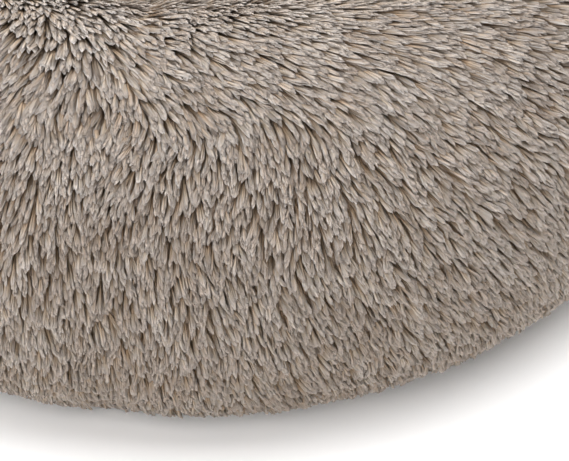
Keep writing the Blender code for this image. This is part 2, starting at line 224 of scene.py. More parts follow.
def rim_layer(turns, angles, inset, bottom):
    """A layer of the rim: a row of points for each turn round the bed, one for each angle."""
    turn, angle = np.radians(turns)[:, None], np.radians(angles)[None, :]
    drop = (TUBE_RADIUS - bottom) / math.sin(math.radians(FLAT_ANGLE))
    rise = np.where(np.sin(angle) > 0, TUBE_RADIUS - inset, drop)
    radius = RING_RADIUS + (TUBE_RADIUS - inset) * np.cos(angle) + 0 * turn
    height = np.maximum(TUBE_RADIUS + rise * np.sin(angle), bottom) + 0 * turn
    around = np.stack([np.sin(turn) + 0 * angle, -np.cos(turn) + 0 * angle], -1)
    points = np.concatenate([around * radius[..., None], height[..., None]], -1)
    level = 0 * around[..., :1]
    out = np.concatenate([around * np.cos(angle)[..., None], np.sin(angle)[..., None] + level], -1)
    middle = np.concatenate([around * RING_RADIUS, TUBE_RADIUS + level], -1)
    tips = middle + out * TUBE_RADIUS
    lumps = wander(tips, LUMP_SIZE) * LUMP_HEIGHT + wander(tips, DENT_SIZE) * DENT_HEIGHT
    lumps = lumps / NOISE_SCALE
    turns, section = np.asarray(turns), np.asarray(angles)
    drawn_in = SIDE_SEAM_DEPTH * (1 - NEST_SEAM_EASE * smooth_step(section, 100, 150))
    for seam in SIDE_SEAM_TURNS:
        away = np.abs((turns - seam + 180) % 360 - 180)
        lumps -= (1 - smooth_step(away, 0, SIDE_SEAM_REACH))[:, None] * drawn_in
    from_full = (((turns - FULL_TURN + 180) % 360 - 180) / FULL_TURN_REACH)[:, None] ** 2
    from_full = from_full + ((section - FULL_ANGLE) / FULL_ANGLE_REACH)[None, :] ** 2
    lumps += FULL_HEIGHT * np.exp(-from_full)
    free = smooth_step(section, -FLAT_ANGLE, SEWN_REACH - FLAT_ANGLE)
    free = free * smooth_step(-section, -NEST_SEAM_ANGLE, SEWN_REACH - NEST_SEAM_ANGLE)
    return points + out * (lumps * free)[..., None]


def grid_faces(rows, columns, round_rows=False, round_columns=False):
    """The four-sided faces of a grid of points, which may close on itself either way."""
    faces = []
    for row in range(rows if round_rows else rows - 1):
        here, ahead = row * columns, (row + 1) % rows * columns
        for column in range(columns if round_columns else columns - 1):
            beside = (column + 1) % columns
            faces.append((here + column, ahead + column, ahead + beside, here + beside))
    return faces


def turned_over(faces):
    """The same faces, looking the other way."""
    return [tuple(reversed(face)) for face in faces]


# Polyester fibre: matt white fluff, with loose strands that give it a faint uneven streak.
fibre_fluff, fluff_tree, fluff_shader = new_material(
    "polyester_fibre_fill", {"Roughness": 0.95, "Specular IOR Level": 0.2, "Sheen Weight": 0.3}
)
fluff_place = add_node(fluff_tree, "ShaderNodeTexCoord").outputs["Object"]
fluff_noise = add_node(
    fluff_tree,
    "ShaderNodeTexNoise",
    {"Vector": fluff_place, "Scale": 420.0, "Detail": 6.0, "Distortion": 1.4},
).outputs["Fac"]
fluff_tones = ((0.3, "#D2D1CC"), (0.6, "#F2F2EE"))
patterned(fluff_tree, fluff_shader, fluff_noise, fluff_tones, depth=(0.7, 0.001))

fill_turns = np.arange(FILL_TURNS) * 360 / FILL_TURNS
fill_angles = np.arange(FILL_ANGLES) * 360 / FILL_ANGLES - FLAT_ANGLE
fill_ring = rim_layer(fill_turns, fill_angles, FILL_INSET, FILL_BOTTOM)
rim_fill = mesh_piece(
    "rim_fibre_fill",
    fill_ring.reshape(-1, 3),
    grid_faces(FILL_TURNS, FILL_ANGLES, True, True),
    fibre_fluff,
)
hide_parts("rim_fill")
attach(rim_fill, "bed")


# Rim liner: a white non-woven tube that holds the fibre, cut as an upper and a lower ring. They are
# sewn together along the outer and the inner side, where the cloth puckers between the stitches.
LINER_SEAMS = (-18.0, 198.0)
PUCKERS, PUCKER_DEPTH, PUCKER_REACH = 50, 0.0007, 12.0
LINER_TURNS, LINER_STEP = 150, 12.0

# Spunbond polypropylene: thin, white and matt, pressed with a close pattern of small bond points.
# The points are 0.8 mm apart on the real cloth and are drawn twice as far apart, so that they show.
spunbond, spunbond_tree, spunbond_shader = new_material(
    "spunbond_polypropylene", {"Base Color": linear("#E3E2DD"), "Roughness": 0.8}
)
spunbond_place = add_node(spunbond_tree, "ShaderNodeTexCoord").outputs["Object"]
bond_points = add_node(
    spunbond_tree, "ShaderNodeTexVoronoi", {"Vector": spunbond_place, "Scale": 620.0}
).outputs["Distance"]
patterned(spunbond_tree, spunbond_shader, bond_points, depth=(0.35, 0.0004))


def thicken(piece, depth, offset=-1.0):
    """Gives a cloth its thickness, on the inner side of its faces unless told otherwise."""
    thickness = piece.modifiers.new("thickness", "SOLIDIFY")
    thickness.thickness = depth
    thickness.offset = offset


liner_turns = np.arange(LINER_TURNS) * 360 / LINER_TURNS
liner_round = np.radians(liner_turns)
tube_middle = [RING_RADIUS * np.sin(liner_round), -RING_RADIUS * np.cos(liner_round)]
tube_middle = np.stack([*tube_middle, np.full(LINER_TURNS, TUBE_RADIUS)], -1)[:, None]
for name, start, end in (
    ("rim_liner_top", *LINER_SEAMS),
    ("rim_liner_bottom", LINER_SEAMS[1], LINER_SEAMS[0] + 360),
):
    liner_angles = np.linspace(start, end, int((end - start) / LINER_STEP) + 1)
    liner_grid = rim_layer(liner_turns, liner_angles, LINER_INSET, BASE_THICK + PLAY)
    inward = tube_middle - liner_grid
    inward /= np.linalg.norm(inward, axis=-1, keepdims=True)
    from_seam = np.minimum(liner_angles - start, end - liner_angles)
    pucker = 0.5 + 0.5 * np.sin(liner_round[:, None] * PUCKERS)
    pucker = pucker * PUCKER_DEPTH * (1 - smooth_step(from_seam, 0, PUCKER_REACH))
    liner_grid = liner_grid + inward * pucker[..., None]
    liner = mesh_piece(
        name + "_cloth",
        liner_grid.reshape(-1, 3),
        grid_faces(LINER_TURNS, len(liner_angles), round_rows=True),
        spunbond,
    )
    thicken(liner, LINER_THICK / 2)
    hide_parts(name)
    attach(liner, "bed")


# Pad fill: the same fibre, in a flat round pad that lies inside the ring on the base's raised
# middle. The pet's weight and its own keep its crown low, and its edge tucks under the rim.
CUSHION_TOP = 0.072
CROWN_POWER = 3
WALL_ANGLES = (198.0, 207.0, 216.0)  # where the pad's side runs down along the rim's inner side
WALL_SHARES = (0.92, 0.62, 0.31)  # of the pile's depth that stands between the two there
PAD_TURNS = 96
pad_low, pad_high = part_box("cushion_liner_bottom")
PAD_RADIUS, PAD_BOTTOM, PAD_SEAM_HEIGHT = pad_high.x, pad_low.z, pad_high.z
PAD_SHOULDER = 0.0072  # the pad draws in by this from its seam up to where it meets the rim
PAD_SHOULDER_RISE = 0.009
PAD_CORNER = 0.006
CROWN_STEPS = 14
PAD_DENTS, PAD_DENT_SIZE = 0.0022, 0.045


def cushion_side(depth):
    """Points (radius, height) down the cushion's side, at a depth below the tips of its pile."""
    drop = TUBE_RADIUS / math.sin(math.radians(FLAT_ANGLE))
    side = []
    for angle, share in zip(WALL_ANGLES, WALL_SHARES):
        turn, out = math.radians(angle), depth * share + PLAY
        lower = (TUBE_RADIUS + out) / TUBE_RADIUS * drop
        radius = RING_RADIUS + (TUBE_RADIUS + out) * math.cos(turn)
        side.append((radius, TUBE_RADIUS + lower * math.sin(turn)))
    return side


def cushion_crown(depth, steps):
    """Points (radius, height) over the cushion's crown, from near its middle to its side."""
    edge_radius, edge_height = cushion_side(depth)[0]
    rise = CUSHION_TOP - depth - edge_height
    shares = np.linspace(0, 1, steps + 1)[1:-1]
    return [(s * edge_radius, edge_height + rise * (1 - s**CROWN_POWER)) for s in shares]


def turned_piece(name, profile, turns, surface, dents=0.0):
    """A piece turned about the bed's axis from (radius, height) points, from its top outwards and
    down. Where the points start or end on the axis, they close there in a pole."""
    rings = [p for p in profile if p[0] > 0]
    turn = np.arange(turns) * 2 * math.pi / turns
    points = np.array([[(r * math.sin(t), -r * math.cos(t), h) for r, h in rings] for t in turn])
    faces = turned_over(grid_faces(turns, len(rings), round_rows=True))
    poles, count = [], turns * len(rings)
    if profile[0][0] == 0:
        poles.append((0, 0, profile[0][1]))
        faces += [(count, r * len(rings), (r + 1) % turns * len(rings)) for r in range(turns)]
    if profile[-1][0] == 0:
        last, pole = len(rings) - 1, count + len(poles)
        poles.append((0, 0, profile[-1][1]))
        faces += [
            (pole, (r + 1) % turns * len(rings) + last, r * len(rings) + last) for r in range(turns)
        ]
    points = np.concatenate([points.reshape(-1, 3), np.array(poles).reshape(-1, 3)])
    if dents:
        upper = smooth_step(points[:, 2], PAD_SEAM_HEIGHT, CUSHION_TOP - PILE_DEPTH)
        points[:, 2] -= dents * upper * (0.5 + 0.5 * wander(points, PAD_DENT_SIZE, 5.0))
    return mesh_piece(name, points, faces, surface)


def pad_profile(inset):
    """Half the pad's section, from its crown out to its seam and back along its flat underside."""
    depth = PILE_DEPTH + BACKING_THICK + 2 * PLAY + inset
    edge, seam = PAD_RADIUS - inset, PAD_SEAM_HEIGHT
    return [
        (0, CUSHION_TOP - depth),
        *cushion_crown(depth, CROWN_STEPS),
        *cushion_side(depth),
        (edge - PAD_SHOULDER, seam + PAD_SHOULDER_RISE - inset),
        (edge - 0.2 * PAD_SHOULDER, seam + 0.4 * PAD_SHOULDER_RISE),
        (edge, seam),
        (edge - 0.3 * PAD_CORNER, (seam + PAD_BOTTOM) / 2),
        (edge - PAD_CORNER, PAD_BOTTOM + inset),
        (edge * 0.6, PAD_BOTTOM + inset),
        (edge * 0.3, PAD_BOTTOM + inset),
        (0, PAD_BOTTOM + inset),
    ]


pad_fill = turned_piece(
    "pad_fibre_fill", pad_profile(LINER_THICK + PLAY), PAD_TURNS, fibre_fluff, PAD_DENTS
)
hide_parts("cushion_fill")
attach(pad_fill, "bed")


# Pad liner: two non-woven discs sewn together round their edge, which shuts the pad's fibre in. The
# seam lies in the corner under the rim, and the upper disc is gathered a little along it.
pad_points = pad_profile(0.0)
pad_seam = [height for _, height in pad_points].index(PAD_SEAM_HEIGHT)
for name, profile in (
    ("cushion_liner_top", pad_points[: pad_seam + 1]),
    ("cushion_liner_bottom", pad_points[pad_seam:]),
):
    liner = turned_piece(name + "_cloth", profile, PAD_TURNS, spunbond, PAD_DENTS)
    thicken(liner, LINER_THICK / 2)
    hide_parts(name)
    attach(liner, "bed")


# Rim cover's ground: the knitted fabric that holds the pile, with the dense lower part of the pile
# felted on it, in one strip for each side of the bed. Radial seams join the strips at the front and
# rear, and the stuffing fills them tight.
AROUND_STEPS, SECTION_STEP = 180, 6.0
GROUND_DEPTH = 0.0054  # below the tips of the locks
BACKING_SLACK = 0.0012  # the start shape is smaller than the stuffed one by this
GROUND_THICK = PILE_DEPTH + BACKING_THICK - GROUND_DEPTH - BACKING_SLACK
BACKING_CAP = 0.003  # the most that the stuffing may push the fabric out from there
STUFFING_FRAMES = 20
STUFFING = {
    "quality": 4,
    "mass": 0.3,
    "tension_stiffness": 25.0,
    "compression_stiffness": 25.0,
    "shear_stiffness": 8.0,
    "use_pressure": True,
    "uniform_pressure_force": 4.0,
    "vertex_group_mass": "sewn",
}

# Knitted acrylic ground under felted pile: matt, in its own brown made darker than the pile as painted
# shade of the deep pile. It shows only as the dark between the locks, and its fibres are 0.3 mm apart
# there, drawn three times as coarse, so that they show.
backing_knit, knit_tree, knit_shader = new_material("felted_acrylic_ground", {"Roughness": 0.95})
knit_place = add_node(knit_tree, "ShaderNodeTexCoord").outputs["Object"]
knit_streaks = add_node(
    knit_tree,
    "ShaderNodeTexNoise",
    {"Vector": knit_place, "Scale": 1100.0, "Detail": 3.0, "Distortion": 0.8},
).outputs["Fac"]
# Painted shade: these tones are darker than the pile's own, to stand for the shade deep in the pile
knit_tones_painted_shade = ((0.32, "#7C6858"), (0.66, "#A08C7A"))
patterned(knit_tree, knit_shader, knit_streaks, knit_tones_painted_shade, depth=(0.8, 0.0008))


def stuff(piece, sewn, most):
    """Blows a fabric piece up by cloth simulation, held where it is sewn; no point moves
    further than a limit."""
    mesh = piece.data
    start = np.empty(len(mesh.vertices) * 3, np.float32)
    mesh.vertices.foreach_get("co", start)
    held = piece.vertex_groups.new(name="sewn")
    held.add([int(i) for i in sewn], 1.0, "REPLACE")
    cloth = piece.modifiers.new("stuffing", "CLOTH")
    for setting, value in STUFFING.items():
        setattr(cloth.settings, setting, value)
    cloth.settings.effector_weights.gravity = 0.0
    cloth.collision_settings.use_collision = False
    for step in range(1, STUFFING_FRAMES + 1):
        scene.frame_set(step)
    solid = piece.evaluated_get(bpy.context.evaluated_depsgraph_get())
    end = np.empty_like(start)
    solid.data.vertices.foreach_get("co", end)
    moved = (end - start).reshape(-1, 3)
    far = np.linalg.norm(moved, axis=1, keepdims=True)
    moved *= most * np.tanh(far / most) / np.maximum(far, 1e-9)
    piece.modifiers.remove(cloth)
    piece.vertex_groups.remove(held)
    mesh.vertices.foreach_set("co", (start.reshape(-1, 3) + moved).ravel())
    mesh.update()
    scene.frame_set(1)


section_angles = np.arange(-FLAT_ANGLE, NEST_SEAM_ANGLE + 0.1, SECTION_STEP)
around_turns = np.arange(AROUND_STEPS) * 360.0 / AROUND_STEPS
backing = rim_layer(around_turns, section_angles, GROUND_DEPTH + BACKING_SLACK, BACKING_THICK)
whole = mesh_piece(
    "rim_backing",
    backing.reshape(-1, 3),
    grid_faces(AROUND_STEPS, len(section_angles), round_rows=True),
)
columns = len(section_angles)
rows_by_seams = [round(seam % 360 / 360 * AROUND_STEPS) for seam in SIDE_SEAM_TURNS]
sewn = [r * columns + c for r in range(AROUND_STEPS) for c in (0, columns - 1)]
sewn += [r * columns + c for r in rows_by_seams for c in range(1, columns - 1)]
stuff(whole, sewn, BACKING_CAP)
stuffed = np.empty(AROUND_STEPS * columns * 3, np.float32)
whole.data.vertices.foreach_get("co", stuffed)
backing = stuffed.reshape(AROUND_STEPS, columns, 3).astype(float)
bpy.data.objects.remove(whole, do_unlink=True)

for name, first, last in (
    ("rim_cover_right", rows_by_seams[0] - AROUND_STEPS, rows_by_seams[1]),
    ("rim_cover_left", rows_by_seams[1], rows_by_seams[0]),
):
    strip = backing[np.arange(first, last + 1) % AROUND_STEPS]
    cloth = mesh_piece(
        name + "_backing", strip.reshape(-1, 3), grid_faces(*strip.shape[:2]), backing_knit
    )
    thicken(cloth, GROUND_THICK)
    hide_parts(name)
    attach(cloth, "bed")


# Rim cover's pile: acrylic fibres 16 to 20 mm long, knitted into the ground. Washing and brushing
# draws them into soft blunt locks that lie over each other like shingles, combed down the outside.
FIBRE_LENGTH = 0.0155  # on the side; on the crest, where they lie flatter, they reach further
LOCK_SPACING, FAR_LOCK_SPACING = 0.00180, 0.00197
LOCK_RADIUS, FAR_LOCK_RADIUS = 0.00050, 0.00070
SCATTER = 7.0  # how far the locks stray from the way that they are combed, in degrees
PART_SIZE, PART_TURN = 0.012, 24.0  # the pile parts in drifts of this size, turned by up to this
TUFT_SIZE, TUFT_PULL = 0.0070, 0.55  # neighbouring locks draw together by this share into tufts
FINE_STRANDS, COARSE_STRANDS = 6.0, 2.0  # in a lock, where the camera looks closely and elsewhere
FINE_WIDTH, COARSE_WIDTH, FAR_WIDTH = 0.00049, 0.00085, 0.00115  # half widths of a strand
UNSEEN_SHARE = 0.5  # of the locks that grow where the camera doesn't look closely
STRAND_RINGS, RING_POWER = 2, 3.2  # rings of points along a strand; the power puts them near its tip
CELLS = 32  # the pile's map is a square of cells, and its columns are the tones of strands
NEAR_TURNS = (-40.0, -26.0, -12.0, 2.0, 16.0, 30.0, 45.0, 60.0)
FAR_TURNS = (60.0, 98.0, 136.0, 174.0, 212.0, 248.0, 284.0, 320.0)

# The way that the pile is combed, in degrees from straight down the outer side, at turns of the bed
LOW_COMB = ((-100, -45, -15, 3, 20, 35), (33, 0, 4, 16, 17, 28))
SHOULDER_COMB = ((-100, -45, -20, -13, -5, 12, 24, 35), (33, 4, -2, 8, -8, -6, 20, 32))
CREST_COMB = ((-100, -45, -8, 3, 17, 24, 35, 50), (33, 33, 38, 44, 46, 31, 40, 32))
CREST_START = ((-30, -17, -12, -8, -4, 4, 17), (96, 96, 86, 75, 68, 63, 61))  # angles of the section
INNER_COMB, NEST_COMB = 33, 75  # past the crest, and down in the nest

# How a strand answers to its lock, its drift and its tuft, and to where it tucks under or lies flat
STRAY_POWER, STRAY_REACH = 1.8, 2.2
LEAN_BY_DRIFT, LEAN_BY_TUFT, LEAN_BY_TUCK, LEAN_BY_LIE = 0.38, 0.18, 0.10, -0.22  # in radians
DROOP_BY_TUCK = -0.34
LENGTH_BY_SIDE, LENGTH_BY_TUCK, LENGTH_BY_LIE = -0.11, -0.16, 0.30
LOCK_CLOSING, LOCK_FLATNESS = -0.08, 0.42
LOCK_CURL, STRAND_BOW = 0.0014, 0.0003
PULL_BY_LIE, WIDTH_BY_LIE = 0.35, 0.30
SWELL_TURN, SWELL, ROOT_WIDTH, STRAND_FLATNESS = 2.2, 0.30, 0.78, 0.32
TONE_BY_LOCK, TONE_BY_STRAND, TONE_BY_TUFT, TONE_BY_DRIFT = 0.24, 0.09, 0.46, 0.9
CELL_HALF, CELL_START, CELL_SPAN = 0.38, 0.06, 0.88  # the part of a cell that a strand uses
FLOOR_GAP, FLOOR_PLY = 0.0005, 0.0003  # from the floor to a strand that lies on it, and its half


def comb_sweep(turn, angle):
    """How far the pile is combed round the ring at a turn and an angle of the section. At the front
    left the crest has a parting: left of it the pile falls straight down, right of it the pile lies
    along the crest, and under the crest there it falls nearly straight down again."""
    low, shoulder = np.interp(turn, *LOW_COMB), np.interp(turn, *SHOULDER_COMB)
    crest, crest_start = np.interp(turn, *CREST_COMB), np.interp(turn, *CREST_START)
    sweep = low + (shoulder - low) * smooth_step(angle, 5, 42)
    sweep += (crest - sweep) * smooth_step(angle, crest_start - 8, crest_start + 8)
    sweep += (INNER_COMB - sweep) * smooth_step(angle, 88, 102)
    return sweep + (NEST_COMB - INNER_COMB) * smooth_step(angle, 100, 155)


# Acrylic pile, knitted, sheared and tumbled: dull, with paler tips. Its roots are painted browner, as
# painted shade that tints the shadows between the locks, and lighter than the middles, as painted
# light that lifts those shadows. Each strand takes one of a few tones, from a map that has a cell for each.
pile_acrylic, pile_tree, pile_shader = new_material(
    "acrylic_long_pile",
    {
        "Roughness": 0.85,
        "Specular IOR Level": 0.12,
        "Subsurface Weight": 0.7,
        "Subsurface Radius": (0.0022, 0.0020, 0.0019),
        "Subsurface Scale": 1.0,
    },
)
strand_map = add_node(pile_tree, "ShaderNodeUVMap", uv_map="OFBake").outputs[0]
in_cells = add_node(
    pile_tree, "ShaderNodeVectorMath", {0: strand_map, 1: (CELLS, CELLS, 1)}, operation="MULTIPLY"
).outputs[0]
cell = add_node(pile_tree, "ShaderNodeVectorMath", {0: in_cells}, operation="FLOOR").outputs[0]
inside = add_node(pile_tree, "ShaderNodeVectorMath", {0: in_cells}, operation="FRACTION").outputs[0]
place = add_node(pile_tree, "ShaderNodeSeparateXYZ", {0: inside}).outputs
cell_place = add_node(pile_tree, "ShaderNodeSeparateXYZ", {0: cell}).outputs
tone = add_node(
    pile_tree, "ShaderNodeMath", {0: cell_place[0], 1: 1 / CELLS}, operation="MULTIPLY"
).outputs[0]
along_ramp_painted_shade = add_node(pile_tree, "ShaderNodeValToRGB", {0: place[1]})
ramp = along_ramp_painted_shade.color_ramp
# Painted shade and painted light: the root colours are browner and lighter, to tint and lift the shadows
# between the locks
ramp.elements[0].position, ramp.elements[0].color = 0.08, linear("#B69677")
ramp.elements[1].position, ramp.elements[1].color = 0.92, linear("#AEA29A")
for position, code in ((0.40, "#AC9076"), (0.66, "#A89685")):
    stop = ramp.elements.new(position)
    stop.color = linear(code)
tone_ramp = add_node(pile_tree, "ShaderNodeValToRGB", {0: tone})
tone_ramp.color_ramp.elements[0].color = linear("#CCC3BA")
tone_ramp.color_ramp.elements[1].color = linear("#FFFFFF")
coloured = add_node(
    pile_tree,
    "ShaderNodeMix",
    {0: 1.0, 6: along_ramp_painted_shade.outputs[0], 7: tone_ramp.outputs[0]},
    data_type="RGBA",
    blend_type="MULTIPLY",
)
pile_tree.links.new(coloured.outputs[2], pile_shader.inputs["Base Color"])


def new_tree(name, sizes):
    """A geometry tree whose inputs are a piece, named sizes with their usual values, and a material."""
    tree = bpy.data.node_groups.new(name, "GeometryNodeTree")
    tree.interface.new_socket("Geometry", in_out="OUTPUT", socket_type="NodeSocketGeometry")
    tree.interface.new_socket("Geometry", in_out="INPUT", socket_type="NodeSocketGeometry")
    for size, value in sizes.items():
        kind = {float: "Float", int: "Int", tuple: "Vector"}[type(value)]
        socket = tree.interface.new_socket(size, in_out="INPUT", socket_type="NodeSocket" + kind)
        socket.default_value = value
    tree.interface.new_socket("Material", in_out="INPUT", socket_type="NodeSocketMaterial")
    return tree, add_node(tree, "NodeGroupInput").outputs


def end_tree(tree, geometry, given):
    """Ends a tree: makes what it placed real and smooth, in the material that it was given."""
    real = add_node(tree, "GeometryNodeRealizeInstances", {0: geometry}).outputs[0]
    real = add_node(tree, "GeometryNodeSetShadeSmooth", {"Geometry": real}).outputs[0]
    dressed = {"Geometry": real, "Material": given["Material"]}
    real = add_node(tree, "GeometryNodeSetMaterial", dressed).outputs[0]
    add_node(tree, "NodeGroupOutput", {0: real})


# The tree that grows the pile on a surface. It scatters roots, gives each lock and then each strand
# its own numbers, puts a spike at each and bends it to its lock. It reads five attributes: comb (the
# way the pile lies), fine (0 to 1, how many strands a lock has), tuck (how far it turns under), lie
# (how flat and wide it lies) and shade (its tone).
long_pile, given = new_tree(
    "long_pile",
    {
        "Lock Spacing": LOCK_SPACING,
        "Lock Radius": LOCK_RADIUS,
        "Fibre Length": FIBRE_LENGTH,
        "Fine Strands": FINE_STRANDS,
        "Coarse Strands": COARSE_STRANDS,
        "Fine Width": FINE_WIDTH,
        "Coarse Width": COARSE_WIDTH,
        "Scatter": math.radians(SCATTER),
        "Part Size": PART_SIZE,
        "Part Turn": math.radians(PART_TURN),
        "Tuft Size": TUFT_SIZE,
        "Tuft Pull": TUFT_PULL,
        "Surface Radius": TUBE_RADIUS,
        "Rings": STRAND_RINGS,
        "Seed": 1,
    },
)
LOCK_NUMBERS = (  # drawn for each lock, between two values
    ("stray", 0.0, 1.0),
    ("side_chance", -1.0, 1.0),
    ("lean", 0.58, 0.80),
    ("droop", -0.12, 0.14),
    ("reach", 0.80, 1.06),
    ("lock_tone", 0.0, 1.0),
    ("curl", -1.0, 1.0),
)
STRAND_NUMBERS = (  # drawn for each strand
    ("aside", -1.0, 1.0),
    ("ahead", -1.0, 1.0),
    ("above", -1.0, 1.0),
    ("bow", -1.0, 1.0),
    ("share", 0.91, 1.0),
    ("own_tone", 0.0, 1.0),
    ("own_width", 0.7, 1.9),
    ("cell_row", 0.0, CELLS - 0.01),
)
drawn = [numbers[0] for numbers in LOCK_NUMBERS + STRAND_NUMBERS]
known = {socket.name: socket for socket in given if socket.name}
for names, kind in (
    (("comb", "out", "root", "ring"), "FLOAT_VECTOR"),
    (("fine", "tuck", "lie", "shade", "along", *drawn), "FLOAT"),
):
    for name in names:
        known[name] = add_node(
            long_pile, "GeometryNodeInputNamedAttribute", {"Name": name}, data_type=kind
        ).outputs["Attribute"]
unseen_thinner = add_node(
    long_pile,
    "ShaderNodeMath",
    {0: known["fine"], 1: 1 - UNSEEN_SHARE, 2: UNSEEN_SHARE},
    operation="MULTIPLY_ADD",
).outputs[0]
scattered = add_node(
    long_pile,
    "GeometryNodeDistributePointsOnFaces",
    {
        "Mesh": given["Geometry"],
        "Distance Min": given["Lock Spacing"],
        "Density Max": 1.0e6,
        "Density Factor": unseen_thinner,
        "Seed": given["Seed"],
    },
    distribute_method="POISSON",
).outputs
here = add_node(long_pile, "GeometryNodeInputPosition").outputs[0]
flow = scattered["Points"]
for name, value in (("out", scattered["Normal"]), ("root", here)):
    flow = add_node(
        long_pile,
        "GeometryNodeStoreNamedAttribute",
        {"Geometry": flow, "Name": name, "Value": value},
        data_type="FLOAT_VECTOR",
    ).outputs[0]
for step, (name, low, high) in enumerate(LOCK_NUMBERS + STRAND_NUMBERS):
    if step == len(LOCK_NUMBERS):
        number = add_node(
            long_pile,
            "ShaderNodeMix",
            {0: known["fine"], 2: given["Coarse Strands"], 3: given["Fine Strands"]},
            data_type="FLOAT",
        ).outputs[0]
        number = add_node(long_pile, "ShaderNodeMath", {0: number}, operation="ROUND").outputs[0]
        flow = add_node(
            long_pile,
            "GeometryNodeDuplicateElements",
            {"Geometry": flow, "Amount": number},
            domain="POINT",
        ).outputs["Geometry"]
    seed = add_node(
        long_pile, "ShaderNodeMath", {0: given["Seed"], 1: 11.0 + step}, operation="ADD"
    ).outputs[0]
    chance = add_node(
        long_pile, "FunctionNodeRandomValue", {2: low, 3: high, 8: seed}, data_type="FLOAT"
    ).outputs[1]
    flow = add_node(
        long_pile,
        "GeometryNodeStoreNamedAttribute",
        {"Geometry": flow, "Name": name, "Value": chance},
        data_type="FLOAT",
    ).outputs[0]

# One strand: a three-sided spike with a blunt end, whose last ring is close to its tip
spike = add_node(
    long_pile,
    "GeometryNodeMeshCone",
    {
        "Vertices": 3,
        "Side Segments": given["Rings"],
        "Radius Bottom": 1.0,
        "Radius Top": 0.0,
        "Depth": 1.0,
    },
    fill_type="NGON",
).outputs["Mesh"]
spike_place = add_node(long_pile, "ShaderNodeSeparateXYZ", {0: here}).outputs
level_place = add_node(long_pile, "ShaderNodeCombineXYZ", {0: spike_place[0], 1: spike_place[1]})
ring_way = add_node(
    long_pile, "ShaderNodeVectorMath", {0: level_place.outputs[0]}, operation="NORMALIZE"
).outputs[0]
left = add_node(
    long_pile, "ShaderNodeMath", {0: 1.0, 1: spike_place[2]}, operation="SUBTRACT"
).outputs[0]
left = add_node(
    long_pile, "ShaderNodeMath", {0: left, 1: RING_POWER}, operation="POWER"
).outputs[0]
run_along = add_node(
    long_pile, "ShaderNodeMath", {0: 1.0, 1: left}, operation="SUBTRACT"
).outputs[0]
for name, value, kind in (("ring", ring_way, "FLOAT_VECTOR"), ("along", run_along, "FLOAT")):
    spike = add_node(
        long_pile,
        "GeometryNodeStoreNamedAttribute",
        {"Geometry": spike, "Name": name, "Value": value},
        data_type=kind,
    ).outputs[0]
placed = add_node(
    long_pile, "GeometryNodeInstanceOnPoints", {"Points": flow, "Instance": spike}
).outputs[0]
real = add_node(long_pile, "GeometryNodeRealizeInstances", {0: placed}).outputs[0]

# Drifts in which neighbouring locks turn and rise together, read at the strand's root
per_part = add_node(
    long_pile, "ShaderNodeMath", {0: 1.0, 1: given["Part Size"]}, operation="DIVIDE"
).outputs[0]
drift = add_node(
    long_pile, "ShaderNodeTexNoise", {"Vector": known["root"], "Scale": per_part, "Detail": 1.0}
)
known["drift"] = drift.outputs["Fac"]
drift_colour = add_node(long_pile, "ShaderNodeSeparateXYZ", {0: drift.outputs["Color"]}).outputs
known["rise_drift"] = drift_colour[1]
per_tuft = add_node(
    long_pile, "ShaderNodeMath", {0: 1.0, 1: given["Tuft Size"]}, operation="DIVIDE"
).outputs[0]
tuft = add_node(
    long_pile, "ShaderNodeTexVoronoi", {"Vector": known["root"], "Scale": per_tuft}
).outputs
known["tuft_middle"] = tuft["Position"]
tuft_colour = add_node(long_pile, "ShaderNodeSeparateXYZ", {0: tuft["Color"]}).outputs
known["tuft_tone"], known["tuft_rise"] = tuft_colour[0], tuft_colour[1]
ring_place = add_node(long_pile, "ShaderNodeSeparateXYZ", {0: known["ring"]}).outputs
known["ring_side"], known["ring_up"] = ring_place[1], ring_place[0]

